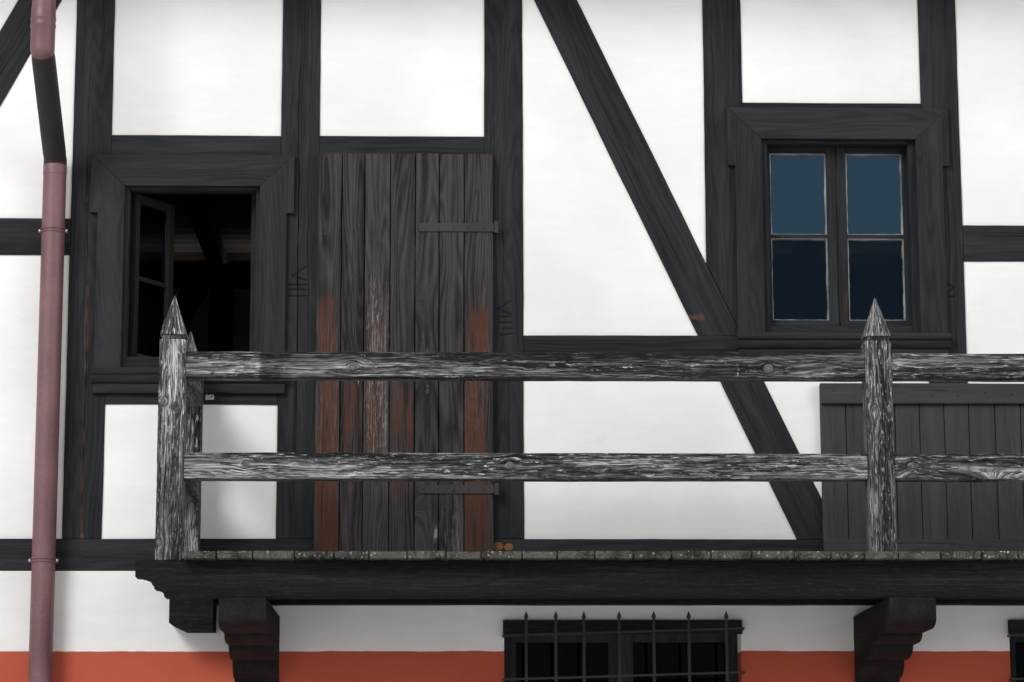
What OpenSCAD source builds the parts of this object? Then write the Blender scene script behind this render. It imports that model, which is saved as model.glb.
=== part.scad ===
// Half-timbered house with a front balcony: masonry ground storey, timber-framed
// upper storey with plaster panels, gabled roof. Millimetres, +Z up, front towards -Y.

/* [Frame] */
// Distance between the centres of the two middle posts
middle_bay = 1082; // [1000:2:1200]
// Post centres of the braced bay beside the middle
brace_bay = 1092; // [1000:2:1200]
// Post centres of the bay with the balcony door
door_bay = 1004; // [960:2:1060]
// Post centres of the outer window bay
window_bay = 1023; // [980:2:1100]
// Post centres of the end bay with its long brace
end_bay = 1910; // [1850:10:2200]
// House depth from front wall to back wall
house_depth = 8000; // [7400:100:9000]
// Width of a post's face
post_w = 190; // [170:2:200]
// Depth of wall timbers into the house
timber_d = 180; // [160:5:200]
// Height of a rail's face
rail_h = 182; // [160:2:200]
// Height of the sill beam
sill_h = 155; // [140:5:180]
// Upper-storey height from sill top to plate
storey_h = 2830; // [2700:10:3000]
// Height of the wall plate
plate_h = 200; // [160:10:220]
// Width of a brace measured along the sill
brace_w = 216; // [190:2:225]
// Sideways run of the middle brace from plate to sill
brace_run = 1319; // [1290:1:1330]
// Bays along each side wall
side_bays = 7; // [7:1:8]

/* [Rails and openings] */
// Lintel rail over the door and outer windows, its top over the sill beam
lintel_up = 1998; // [1970:1:2050]
// Lintel rail over the middle window, its top over the sill beam
middle_lintel_up = 2178; // [2150:1:2230]
// Sill rail under the middle window, its top over the sill beam
middle_rail_up = 998; // [955:1:1015]
// Rail under the outer windows, its top over the sill beam
outer_rail_up = 835; // [800:1:875]
// Mid rails in plain bays, their top over the sill beam
mid_rail_up = 1557; // [1480:1:1620]
// Mid rails in the end bays, their top over the sill beam
end_rail_up = 1575; // [1480:1:1620]
// Panel thickness
panel_t = 140; // [110:5:150]
// Setback of the panels behind the timber faces
panel_back = 6; // [2:1:12]

/* [Windows] */
// Clear width inside the surround of an outer window
outer_window_w = 660; // [600:2:680]
// Clear width inside the surround of the middle window
middle_window_w = 766; // [740:2:790]
// Sideways offset of the middle window in its bay
middle_window_x = 26; // [0:1:34]
// Face width of a surround board
board_w = 132; // [110:1:134]
// Thickness of the surround boards
board_t = 26; // [20:1:32]
// Sideways reach of the ears past the surround boards
ear_out = 36; // [20:1:42]
// Height of the ears below the head board
ear_drop = 136; // [100:1:180]
// Height of the head board
head_h = 160; // [120:1:164]
// Frame width that shows inside the surround of a middle window
frame_show = 32; // [24:1:44]
// Frame width that shows inside the surround of an outer window
outer_frame_show = 20; // [16:1:40]
// Width of the sash stiles that meet
stile_w = 50; // [42:1:54]
// Width of the sash stiles on the hinge side
hinge_stile_w = 34; // [28:1:48]
// Thickness of a sash
sash_t = 42; // [36:1:50]
// Swing of the open left casement in degrees
casement_open = 60; // [50:1:85]

/* [Ground storey] */
// Height of the masonry walls, up to the sill beams
ground_h = 2870; // [2700:10:3000]
// Masonry wall thickness
wall_t = 450; // [420:10:500]
// Shelf on the wall head that carries the joists
shelf_t = 250; // [220:5:260]
// Floor slab thickness
slab_h = 150; // [100:10:200]
// Width of the front ground windows
ground_window_w = 1135; // [900:5:1150]
// Height of the ground windows
ground_window_h = 1150; // [900:10:1170]
// Wall between the ground windows and the sill beams
ground_window_drop = 270; // [260:5:320]
// Middle of the ground windows, where the middle corbel sits
ground_axis = 147; // [100:1:160]
// Distance of the ground windows from their middle
ground_window_out = 1214; // [1180:1:1240]
// Width of the entrance doorway
entrance_w = 1000; // [900:10:1100]
// Height of the entrance doorway over the floor slab
entrance_h = 2050; // [1950:10:2100]

/* [Balcony] */
// Middle of the balcony
balcony_x = 25; // [0:1:30]
// Railing post centres, one bay
railing_bay = 3163; // [3100:1:3200]
// Reach of the balcony beam's front face
balcony_out = 1060; // [1000:10:1100]
// Reach of the balcony beam past the end post's centre
beam_past = 144; // [120:1:150]
// Overhang of the deck in front of the beam
deck_lip = 80; // [60:5:90]
// Step from the wall head down to the deck
deck_drop = 21; // [10:1:50]
// Thickness of the deck planks
plank_t = 35; // [30:1:40]
// Height of the balcony beam
beam_h = 162; // [150:1:180]
// Thickness of the balcony beam
beam_t = 124; // [118:1:140]
// Height of the wall ledger
ledger_h = 111; // [90:1:130]
// Railing post width
railing_w = 120; // [110:1:130]
// Top of the top rail over the deck
railing_h = 901; // [850:1:1000]
// Height of a railing rail
bar_h = 117; // [100:1:130]
// Top of the lower rail over the deck
low_bar_h = 445; // [400:1:500]
// Height of a railing post's shaft over the top rail
cap_over = 76; // [60:1:100]
// Height of the pyramid on a railing post
cap_h = 187; // [150:1:200]
// Distance of the left corbel from the middle one
corbel_bay = 2957; // [2900:1:2960]
// Corbel width
corbel_w = 208; // [180:1:220]

/* [Roof] */
// Roof pitch in degrees
pitch = 45; // [42:1:48]
// Reach of the tie beams past the walls
tie_out = 500; // [460:10:560]
// Height of the tie beams
tie_h = 180; // [160:5:200]
// Rafter depth
rafter_d = 160; // [140:5:180]
// Rafter width
rafter_w = 120; // [100:5:140]
// Number of rafter pairs
rafter_pairs = 13; // [11:1:15]
// Reach of the roof past the gables
verge_out = 350; // [300:10:400]
// Thickness of the battens and tiles
cover_t = 80; // [60:5:100]
// Gutter radius
gutter_r = 75; // [60:1:80]
// Downpipe diameter
pipe_d = 115; // [100:1:120]

/* [Hidden] */
$fn = 24;

// Colours of the plain model
oak = [0.27, 0.27, 0.29];
grey_wood = [0.55, 0.55, 0.55];
plaster = [0.93, 0.92, 0.89];
lower_paint = [0.78, 0.36, 0.25];
inner_wood = [0.62, 0.48, 0.34];
iron = [0.22, 0.21, 0.21];
pane = [0.55, 0.65, 0.7, 0.4];
tile_red = [0.62, 0.33, 0.25];
pipe_pink = [0.75, 0.52, 0.5];

// Wall positions
x_mid = middle_bay / 2;
x_brace = x_mid + brace_bay;
x_door = x_brace + door_bay;
x_window = x_door + window_bay;
x_end = x_window + end_bay;
half_post = post_w / 2;
half_length = x_end + half_post;
half_depth = house_depth / 2;
front_xs = [-x_end, -x_window, -x_door, -x_brace, -x_mid, x_mid, x_brace, x_door, x_window, x_end];
side_step = (house_depth - 2 * timber_d + post_w) / side_bays;
side_end = (house_depth - 2 * timber_d + post_w) / 2;

// Heights
sill_top = ground_h + sill_h;
lintel_z = sill_top + lintel_up;
middle_lintel_z = sill_top + middle_lintel_up;
middle_rail_z = sill_top + middle_rail_up;
outer_rail_z = sill_top + outer_rail_up;
mid_rail_z = sill_top + mid_rail_up;
end_rail_z = sill_top + end_rail_up;
deck_z = ground_h - deck_drop;
plate_z = sill_top + storey_h;
tie_z = plate_z + plate_h;
eaves_z = tie_z + tie_h;
slope = tan(pitch);
ridge_z = eaves_z + (half_depth + tie_out) * slope;
rafter_foot = rafter_d / sin(pitch);
under_z = eaves_z - rafter_foot * slope;

// Roof edges and the shift that centres the box
board_thick = 30;
gutter_y = tie_out + board_thick + gutter_r;
back_reach = gutter_y + gutter_r;
front_reach = balcony_out + deck_lip;
y_shift = (front_reach - back_reach - house_depth) / 2;

// Window heights: head of the surround and top of the moulded sill
outer_head_drop = 81;
middle_head_drop = 9;
outer_sill_drop = 9;
middle_sill_up = 6;
outer_window_shift = 12;
outer_head = lintel_z - rail_h - outer_head_drop;
outer_sill = outer_rail_z - outer_sill_drop;
middle_head = middle_lintel_z - rail_h - middle_head_drop;
middle_sill = middle_rail_z + middle_sill_up;
outer_x = (x_window + x_door) / 2 + outer_window_shift;
sill_board_h = 73;
apron_h = 49;
sill_out = 62;

module placed() translate([0, y_shift, 0]) children();
module on_front() placed() children();
module on_back() placed() translate([0, house_depth, 0]) rotate([0, 0, 180]) children();
module on_left() placed() translate([-half_length, half_depth, 0]) rotate([0, 0, -90]) children();
module on_right() placed() translate([half_length, half_depth, 0]) rotate([0, 0, 90]) children();
module on_sides() {
  on_left() children();
  on_right() children();
}
module mirrored() {
  children();
  mirror([1, 0, 0]) children();
}

// Stands a drawing up in the wall plane, from depth y0 inwards by t
module upright(y0, t) translate([0, y0 + t, 0]) rotate([90, 0, 0]) linear_extrude(t) children();

// Draws a profile in the y-z plane and runs it along x from x0 by w
module along_x(x0, w) translate([x0, 0, 0]) rotate([90, 0, 90]) linear_extrude(w) children();

module box(x0, x1, y0, y1, z0, z1) translate([x0, y0, z0]) cube([x1 - x0, y1 - y0, z1 - z0]);

// Wall drawings, x along the wall and y upwards
module area(x0, x1, z0, z1) translate([x0, z0]) square([x1 - x0, z1 - z0]);
module post_area(x) area(x - half_post, x + half_post, sill_top, plate_z);
module rail_area(xa, xb, top) area(xa + half_post, xb - half_post, top - rail_h, top);

// Leaning brace whose foot lies to the right of its head by the run
brace_gap = 8;
end_brace_run = end_bay - post_w - brace_w - brace_gap;
module brace_area(x_head, run) polygon([
  [x_head, plate_z], [x_head + brace_w, plate_z],
  [x_head + brace_w + run, sill_top], [x_head + run, sill_top]
]);
module middle_brace_area() brace_area(-x_brace + half_post, brace_run);
module end_brace_area() brace_area(x_window + half_post, end_brace_run);

// The post beside the middle brace ends on the brace's upper edge
module middle_post_area() difference() {
  post_area(-x_mid);
  middle_brace_area();
  middle_sill_rail_area();
  polygon([
    [-x_brace + half_post, plate_z], [-x_brace + half_post + brace_run, sill_top],
    [-x_brace, sill_top], [-x_brace, plate_z]
  ]);
}

module middle_sill_rail_area() rail_area(-x_brace, x_mid, middle_rail_z);
module end_rail_area() rail_area(x_window, x_end, end_rail_z);

module plain_rail_areas() {
  rail_area(-x_window, -x_door, lintel_z);
  rail_area(-x_window, -x_door, outer_rail_z);
  rail_area(-x_mid, x_mid, middle_lintel_z);
  rail_area(x_mid, x_brace, mid_rail_z);
  rail_area(x_brace, x_door, mid_rail_z);
  rail_area(x_door, x_window, lintel_z);
  rail_area(x_door, x_window, outer_rail_z);
}
module door_lintel_area() rail_area(-x_door, -x_brace, lintel_z);
module window_hole(xa, xb, rail, lintel) area(xa + half_post, xb - half_post, rail, lintel - rail_h);
module window_holes() {
  mirrored() window_hole(x_door, x_window, outer_rail_z, lintel_z);
  window_hole(-x_mid, x_mid, middle_rail_z, middle_lintel_z);
}

// A lap joint: the crossing timber keeps its back half, the rail its front half
module lap_back() {
  difference() {
    upright(0, timber_d) children(0);
    upright(-1, timber_d / 2 + 1) children(1);
  }
}
module lap_front() {
  difference() {
    upright(0, timber_d) children(0);
    upright(timber_d / 2, timber_d / 2 + 1) children(1);
  }
}

module front_posts() color(oak) on_front() {
  for (x = front_xs) if (x != -x_mid) upright(0, timber_d) post_area(x);
  upright(0, timber_d) middle_post_area();
}

module front_rails() color(oak) on_front() {
  upright(0, timber_d) plain_rail_areas();
  upright(0, timber_d) door_lintel_area();
  lap_front() {
    middle_sill_rail_area();
    middle_brace_area();
  }
  mirrored() lap_front() {
    end_rail_area();
    end_brace_area();
  }
}

module front_braces() color(oak) on_front() {
  lap_back() {
    middle_brace_area();
    middle_sill_rail_area();
  }
  mirrored() lap_back() {
    end_brace_area();
    end_rail_area();
  }
}

module front_panels() color(plaster) on_front() upright(panel_back, panel_t) difference() {
  area(-half_length + post_w, half_length - post_w, sill_top, plate_z);
  for (x = front_xs) if (x != -x_mid) post_area(x);
  middle_post_area();
  plain_rail_areas();
  middle_sill_rail_area();
  middle_brace_area();
  mirrored() {
    end_rail_area();
    end_brace_area();
  }
  window_holes();
  area(-x_door + half_post, -x_brace - half_post, sill_top, lintel_z);
}

// Back wall: the same posts, three windows, end braces
module back_rail_areas() {
  mirrored() {
    rail_area(x_door, x_window, lintel_z);
    rail_area(x_door, x_window, outer_rail_z);
    rail_area(x_brace, x_door, mid_rail_z);
    rail_area(x_mid, x_brace, mid_rail_z);
  }
  rail_area(-x_mid, x_mid, middle_lintel_z);
  rail_area(-x_mid, x_mid, middle_rail_z);
}
module back_post_areas() for (x = front_xs) if (abs(x) < x_end) post_area(x);

// Side walls: window bays are the second, middle and last but one
function side_x(i) = -side_end + i * side_step;
side_window_bays = [1, floor(side_bays / 2), side_bays - 2];
side_plain_bays = [for (i = [1:side_bays - 2]) if (len(search(i, side_window_bays)) == 0) i];
side_brace_run = side_step - post_w - brace_w;
module side_post_areas() for (i = [1:side_bays - 1]) post_area(side_x(i));
module side_rail_areas() {
  for (i = side_window_bays) {
    rail_area(side_x(i), side_x(i + 1), middle_lintel_z);
    rail_area(side_x(i), side_x(i + 1), middle_rail_z);
  }
  for (i = side_plain_bays) rail_area(side_x(i), side_x(i + 1), mid_rail_z);
}
module side_end_rail_area() rail_area(side_x(side_bays - 1), side_x(side_bays), mid_rail_z);
module side_brace_area() brace_area(side_x(side_bays - 1) + half_post, side_brace_run);
module side_window_holes() for (i = side_window_bays) {
  window_hole(side_x(i), side_x(i + 1), middle_rail_z, middle_lintel_z);
}

module rear_posts() color(oak) {
  on_back() {
    for (x = front_xs) upright(0, timber_d) post_area(x);
  }
  on_sides() upright(0, timber_d) side_post_areas();
}

module rear_rails() color(oak) {
  on_back() {
    upright(0, timber_d) back_rail_areas();
    mirrored() lap_front() {
      end_rail_area();
      end_brace_area();
    }
  }
  on_sides() {
    upright(0, timber_d) side_rail_areas();
    mirrored() lap_front() {
      side_end_rail_area();
      side_brace_area();
    }
  }
}

module rear_braces() color(oak) {
  on_back() mirrored() lap_back() {
    end_brace_area();
    end_rail_area();
  }
  on_sides() mirrored() lap_back() {
    side_brace_area();
    side_end_rail_area();
  }
}

module rear_panels() color(plaster) {
  on_back() upright(panel_back, panel_t) difference() {
    area(-half_length + post_w, half_length - post_w, sill_top, plate_z);
    back_post_areas();
    back_rail_areas();
    mirrored() {
      end_rail_area();
      end_brace_area();
    }
    window_holes();
  }
  on_sides() upright(panel_back, panel_t) difference() {
    area(-half_depth + timber_d, half_depth - timber_d, sill_top, plate_z);
    side_post_areas();
    side_rail_areas();
    mirrored() {
      side_end_rail_area();
      side_brace_area();
    }
    side_window_holes();
  }
}

module wall_sills() color(oak) {
  on_front() {
    box(-half_length, -x_door + half_post, 0, timber_d, ground_h, sill_top);
    box(-x_brace - half_post, half_length, 0, timber_d, ground_h, sill_top);
  }
  on_back() box(-half_length, half_length, 0, timber_d, ground_h, sill_top);
  on_sides() {
    box(-half_depth + timber_d, half_depth - timber_d, 0, timber_d, ground_h, sill_top);
  }
}

module wall_plates() color(oak) {
  on_front() box(-half_length, half_length, 0, timber_d, plate_z, tie_z);
  on_back() box(-half_length, half_length, 0, timber_d, plate_z, tie_z);
  on_sides() box(-half_depth + timber_d, half_depth - timber_d, 0, timber_d, plate_z, tie_z);
}

// Ground storey
ground_window_top = ground_h - ground_window_drop;
ground_window_z = ground_window_top - ground_window_h;
side_ground_w = 900;
side_ground_x = 1900;
back_ground_x = 2600;
board_floor_t = 30;
joist_h = 200;
shelf_z = ground_h - board_floor_t - joist_h;
module ground_holes() {
  on_front() for (s = [-1, 1]) {
    upright(-1, wall_t + 2) area(
      ground_axis + s * ground_window_out - ground_window_w / 2,
      ground_axis + s * ground_window_out + ground_window_w / 2,
      ground_window_z, ground_window_top
    );
  }
  on_back() {
    for (s = [-1, 1]) upright(-1, wall_t + 2) area(
      s * back_ground_x - ground_window_w / 2, s * back_ground_x + ground_window_w / 2,
      ground_window_z, ground_window_top
    );
    upright(-1, wall_t + 2) area(-entrance_w / 2, entrance_w / 2, slab_h, slab_h + entrance_h);
  }
  on_sides() for (s = [-1, 1]) upright(-1, wall_t + 2) area(
    s * side_ground_x - side_ground_w / 2, s * side_ground_x + side_ground_w / 2,
    ground_window_z, ground_window_top
  );
}

module ground_walls() color(lower_paint) difference() {
  placed() box(-half_length, half_length, 0, house_depth, 0, ground_h);
  placed() box(-half_length + wall_t, half_length - wall_t, wall_t, house_depth - wall_t, -1, ground_h + 1);
  placed() box(
    -half_length + wall_t - shelf_t, half_length - wall_t + shelf_t,
    wall_t - shelf_t, house_depth - wall_t + shelf_t, shelf_z, ground_h + 1
  );
  ground_holes();
}

module ground_slab() color(plaster) placed() {
  box(-half_length + wall_t, half_length - wall_t, wall_t, house_depth - wall_t, 0, slab_h);
}

joist_count = 13;
joist_w = 140;
module floor_joists() color(inner_wood) placed() {
  y0 = wall_t - shelf_t;
  span = 2 * (half_length - y0 - joist_w / 2);
  for (i = [0:joist_count - 1]) {
    x = -span / 2 + i * span / (joist_count - 1);
    box(x - joist_w / 2, x + joist_w / 2, y0, house_depth - y0, shelf_z, ground_h - board_floor_t);
  }
}

module floor_boards() color(inner_wood) placed() {
  e = wall_t - shelf_t;
  box(-half_length + e, half_length - e, e, house_depth - e, ground_h - board_floor_t, ground_h);
}

// Plain casement window for a hole: frame ring, mullion and leaves in one piece
casing_w = 60;
casing_y = 150;
casing_d = 70;
glass_t = 6;
module ground_window(w, h) {
  upright(casing_y, casing_d) difference() {
    area(-w / 2, w / 2, 0, h);
    for (s = [-1, 1]) area(
      s * w / 4 - w / 4 + casing_w, s * w / 4 + w / 4 - casing_w, casing_w, h / 2 - casing_w / 4
    );
    for (s = [-1, 1]) area(
      s * w / 4 - w / 4 + casing_w, s * w / 4 + w / 4 - casing_w, h / 2 + casing_w / 4, h - casing_w
    );
  }
}
module ground_panes(w, h) {
  y0 = casing_y + casing_d / 2;
  for (s = [-1, 1]) upright(y0, glass_t) {
    area(s * w / 4 - w / 4 + casing_w, s * w / 4 + w / 4 - casing_w, casing_w, h / 2 - casing_w / 4);
    area(s * w / 4 - w / 4 + casing_w, s * w / 4 + w / 4 - casing_w, h / 2 + casing_w / 4, h - casing_w);
  }
}
module at_ground_windows() {
  on_front() for (s = [-1, 1]) {
    translate([ground_axis + s * ground_window_out, 0, ground_window_z]) children(0);
  }
  on_back() for (s = [-1, 1]) translate([s * back_ground_x, 0, ground_window_z]) children(0);
  on_sides() for (s = [-1, 1]) translate([s * side_ground_x, 0, ground_window_z]) children(1);
}
module ground_window_frames() color(oak) at_ground_windows() {
  ground_window(ground_window_w, ground_window_h);
  ground_window(side_ground_w, ground_window_h);
}
module ground_window_glass() color(pane) at_ground_windows() {
  ground_panes(ground_window_w, ground_window_h);
  ground_panes(side_ground_w, ground_window_h);
}

// Wooden lintel boards on the wall face over the ground windows
lintel_board_h = 67;
lintel_board_t = 24;
lintel_lap = 6;
module lintel_board(w) {
  h = ground_window_h;
  upright(-lintel_board_t, lintel_board_t) {
    area(-w / 2 - lintel_lap, w / 2 + lintel_lap, h - lintel_board_h / 2, h + lintel_board_h / 2);
  }
}
module lintel_boards() color(oak) at_ground_windows() {
  lintel_board(ground_window_w);
  lintel_board(side_ground_w);
}

// Iron grille of seven spear-tipped square bars and cross bars with bent ends
bar_size = 13;
grille_y = -70;
grille_rise = 1.7;
bar_share = [-0.409, -0.2845, -0.1666, -0.0183, 0.1271, 0.2745, 0.4327];
grille_cross = 6;
grille_over = 28;
grille_under = 60;
grille_side = 10;
grille_low = 83;
grille_high = 27;
cross_size = 10;
spear_h = 46;
module spear_area() polygon([
  [-bar_size / 2, 0], [-bar_size * 0.3, 5], [-bar_size * 0.85, 17], [0, spear_h],
  [bar_size * 0.85, 17], [bar_size * 0.3, 5], [bar_size / 2, 0]
]);
module grille(w) {
  h = ground_window_h;
  reach = w / 2 + grille_side;
  half = cross_size / 2;
  upright(grille_y - bar_size / 2, bar_size) for (s = bar_share) {
    area(s * w - bar_size / 2, s * w + bar_size / 2, -grille_under, h + grille_over);
    translate([s * w, h + grille_over]) spear_area();
  }
  step = (h - grille_low - grille_high) / (grille_cross - 1);
  for (i = [0:grille_cross - 1]) translate([0, 0, grille_low + i * step]) {
    rotate([0, -grille_rise, 0]) {
      box(-reach, reach, grille_y - half, grille_y + half, -half, half);
      mirrored() box(reach - cross_size, reach, grille_y - half, 0, -half, half);
    }
  }
}
module window_grilles() color(iron) at_ground_windows() {
  grille(ground_window_w);
  grille(side_ground_w);
}

door_leaf_t = 50;
entrance_y = 120;
entrance_d = 90;
entrance_side = 70;
entrance_set = 20;
module entrance_frame() color(oak) on_back() upright(entrance_y, entrance_d) difference() {
  area(-entrance_w / 2, entrance_w / 2, slab_h, slab_h + entrance_h);
  area(
    -entrance_w / 2 + entrance_side, entrance_w / 2 - entrance_side,
    slab_h - 1, slab_h + entrance_h - entrance_side
  );
}
module entrance_door() color(inner_wood) on_back() {
  upright(entrance_y + entrance_set, door_leaf_t) area(
    -entrance_w / 2 + entrance_side, entrance_w / 2 - entrance_side,
    slab_h, slab_h + entrance_h - entrance_side
  );
}

// Upper windows: boards round the opening with ears at the head, and a moulded sill
sill_past = 8;
module surround(x, w, head, sill) translate([x, 0, 0]) {
  half = w / 2;
  ear = half + board_w + ear_out;
  upright(-board_t, board_t) difference() {
    union() {
      area(-ear, ear, head - ear_drop, head + head_h);
      area(-half - board_w, half + board_w, sill, head);
    }
    area(-half, half, sill - 1, head);
  }
  moulded_sill(half + board_w + sill_past, sill);
}

// Sill board with a rounded nose over a cove, and a plain apron under it. The profile holds
// shares of the reach and of the height
apron_in = 6;
sill_profile = [
  [0, 0], [1, 0], [1.06, 0.12], [1.06, 0.32], [0.97, 0.44], [0.81, 0.5],
  [0.81, 0.62], [0.71, 0.8], [0.52, 1], [0, 1]
];
module moulded_sill(half, top) {
  h = sill_board_h;
  along_x(-half, 2 * half) polygon([for (p = sill_profile) [-sill_out * p[0], top - h * p[1]]]);
  mirrored() box(0, half - apron_in, -board_t, 0, top - h - apron_h, top - h);
}

module window_surrounds() color(oak) {
  on_front() {
    mirrored() surround(outer_x, outer_window_w, outer_head, outer_sill);
    surround(middle_window_x, middle_window_w, middle_head, middle_sill);
  }
  on_back() {
    mirrored() surround(outer_x, outer_window_w, outer_head, outer_sill);
    surround(0, middle_window_w, middle_head, middle_sill);
  }
  on_sides() for (i = side_window_bays) {
    surround((side_x(i) + side_x(i + 1)) / 2, middle_window_w, middle_head, middle_sill);
  }
}

// Frame ring from post to post, with a rebate behind a front lip for the leaves
frame_y = 14;
lip_d = 76;
frame_d = 120;
rebate = 12;
sill_rise = 54;
head_show = 15;
gable_ring_d = 30;
outer_clear = outer_window_w / 2 - outer_frame_show;
middle_clear = middle_window_w / 2 - frame_show;
module window_frame(xa, xb, rail, lintel, x, clear, head) {
  top = head - head_show;
  bottom = rail + sill_rise;
  difference() {
    upright(frame_y, frame_d) window_hole(xa, xb, rail, lintel);
    upright(frame_y - 1, frame_d + 2) area(x - clear, x + clear, bottom, top);
    upright(frame_y + lip_d, frame_d) {
      area(x - clear - rebate, x + clear + rebate, bottom - rebate, top + rebate);
    }
  }
}
module outer_frame() {
  window_frame(x_door, x_window, outer_rail_z, lintel_z, outer_x, outer_clear, outer_head);
}
module middle_frame(xa, xb, x) {
  window_frame(xa, xb, middle_rail_z, middle_lintel_z, x, middle_clear, middle_head);
}
module gable_window_ring() difference() {
  gable_window_area();
  gable_pane_areas();
}
module gable_pane_areas() {
  w = side_step - post_w;
  z = gable_rail_z + rail_h;
  for (s = [-1, 1]) area(
    half_depth + s * w / 4 - w / 4 + casing_w, half_depth + s * w / 4 + w / 4 - casing_w,
    z + casing_w, z + gable_window_h - casing_w
  );
}
module at_gable_depth(d, t) {
  placed() along_x(-half_length + d, t) children();
  placed() along_x(half_length - d - t, t) children();
}
module window_frames() color(oak) {
  at_gable_depth(gable_ring_d, casing_d) gable_window_ring();
  on_front() {
    outer_frame();
    middle_frame(-x_mid, x_mid, middle_window_x);
  }
  on_back() {
    mirrored() outer_frame();
    middle_frame(-x_mid, x_mid, 0);
  }
  on_sides() for (i = side_window_bays) {
    middle_frame(side_x(i), side_x(i + 1), (side_x(i) + side_x(i + 1)) / 2);
  }
}
module open_window_frame() color(oak) on_front() mirror([1, 0, 0]) outer_frame();

// One leaf drawn from its hinge edge, two panes over each other
sash_y = frame_y + lip_d;
bar_w = 22;
leaf_play = 1;
leaf_foot_w = 54;
leaf_head_w = 44;
function leaf_w(clear) = clear + rebate - leaf_play;
function leaf_z(rail) = rail + sill_rise - rebate;
function leaf_h(rail, head) = head - head_show + rebate - leaf_z(rail);
bar_share_h = 0.505;
glass_pane_t = 4;
module pane_areas(w, h) {
  mid = h * bar_share_h;
  area(hinge_stile_w, w - stile_w, leaf_foot_w, mid - bar_w / 2);
  area(hinge_stile_w, w - stile_w, mid + bar_w / 2, h - leaf_head_w);
}
module leaf(w, h) upright(0, sash_t) difference() {
  area(0, w, 0, h);
  pane_areas(w, h);
}
module leaf_glass(w, h) upright((sash_t - glass_pane_t) / 2, glass_pane_t) pane_areas(w, h);
module pair(x, clear, rail) translate([x, sash_y, leaf_z(rail)]) mirrored() {
  translate([-leaf_w(clear) - leaf_play, 0, 0]) children();
}
module closed_leaves() {
  on_front() {
    pair(outer_x, outer_clear, outer_rail_z) children(0);
    pair(middle_window_x, middle_clear, middle_rail_z) children(1);
  }
  on_back() {
    mirrored() pair(outer_x, outer_clear, outer_rail_z) children(0);
    pair(0, middle_clear, middle_rail_z) children(1);
  }
  on_sides() for (i = side_window_bays) {
    x = (side_x(i) + side_x(i + 1)) / 2;
    pair(x, middle_clear, middle_rail_z) children(1);
  }
}
// The open window's leaves swing inwards about their hinge edges
module open_leaves() on_front() {
  hinge = leaf_w(outer_clear) + leaf_play;
  translate([-outer_x, sash_y + sash_t, leaf_z(outer_rail_z)]) {
    translate([-hinge, 0, 0]) rotate([0, 0, casement_open]) translate([0, -sash_t, 0]) children();
    translate([hinge, 0, 0]) rotate([0, 0, -90]) mirror([1, 0, 0]) translate([0, -sash_t, 0]) children();
  }
}
module outer_leaf() leaf(leaf_w(outer_clear), leaf_h(outer_rail_z, outer_head));
module middle_leaf() leaf(leaf_w(middle_clear), leaf_h(middle_rail_z, middle_head));
module window_sashes() color(oak) {
  closed_leaves() {
    outer_leaf();
    middle_leaf();
  }
  open_leaves() outer_leaf();
}
module window_glass() color(pane) {
  at_gable_depth(gable_ring_d + casing_d / 2, glass_t) gable_pane_areas();
  closed_leaves() {
    leaf_glass(leaf_w(outer_clear), leaf_h(outer_rail_z, outer_head));
    leaf_glass(leaf_w(middle_clear), leaf_h(middle_rail_z, middle_head));
  }
  open_leaves() leaf_glass(leaf_w(outer_clear), leaf_h(outer_rail_z, outer_head));
}

// Board door lapped over its posts, closed, with strap hinges on the right
leaf_lap_left = 7;
leaf_lap_right = 44;
leaf_head_drop = 96;
leaf_gap = 6;
leaf_top = lintel_z - leaf_head_drop;
leaf_bottom = ground_h + leaf_gap;
balcony_leaf_t = 42;
leaf_x0 = -x_door + half_post - leaf_lap_left;
leaf_x1 = -x_brace - half_post + leaf_lap_right;
ledge_h = 120;
ledge_t = 30;
ledge_play = 10;
ledge_zs = [leaf_bottom + 240, leaf_top - 460];
module balcony_door() color(oak) on_front() {
  upright(-balcony_leaf_t, balcony_leaf_t) area(leaf_x0, leaf_x1, leaf_bottom, leaf_top);
  for (z = ledge_zs) box(
    -x_door + half_post + ledge_play, -x_brace - half_post - ledge_play, 0, ledge_t, z, z + ledge_h
  );
}

strap_l = 378;
strap_h = 42;
strap_t = 7;
strap_zs = [leaf_bottom + 384, leaf_top - 376];
gudgeon_r = 13;
gudgeon_x = leaf_x1 + gudgeon_r + 1;
gudgeon_over = 8;
lug_w = 14;
module door_hinges() color(iron) on_front() for (z = strap_zs) {
  y = -balcony_leaf_t;
  half = strap_h / 2;
  box(gudgeon_x - strap_l, gudgeon_x, y - strap_t, y, z - half, z + half);
  translate([gudgeon_x, y - gudgeon_r / 2, z - half - gudgeon_over]) {
    cylinder(h = strap_h + 2 * gudgeon_over, r = gudgeon_r);
  }
  box(gudgeon_x - lug_w / 2, gudgeon_x + lug_w / 2, y, 0, z - half, z + half / 2);
}

// Boarded screen against the wall on the balcony
screen_start = 444;
screen_h = 932;
screen_foot = 70;
screen_board_t = 26;
screen_rail_t = 22;
screen_rail_h = 100;
module boarded_screen() color(oak) on_front() {
  x0 = -x_mid + screen_start;
  x1 = x_brace + half_post;
  box(x0, x1, -screen_board_t, 0, deck_z, deck_z + screen_h);
  for (z = [deck_z + screen_foot, deck_z + screen_h - screen_rail_h]) {
    box(x0, x1, -screen_board_t - screen_rail_t, -screen_board_t, z, z + screen_rail_h);
  }
}

// Balcony
beam_top = deck_z - plank_t;
beam_bottom = beam_top - beam_h;
beam_end = railing_bay + beam_past;
ledger_t = 110;
deck_play = 4;
deck_half = railing_bay - railing_w / 2 - deck_play;
head_w = 208;
head_past = 77;
head_x = -railing_bay - head_past;
head_out = 205;
head_h_low = 242;
head_low = beam_top - head_h_low;
head_cut = 34;

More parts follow.
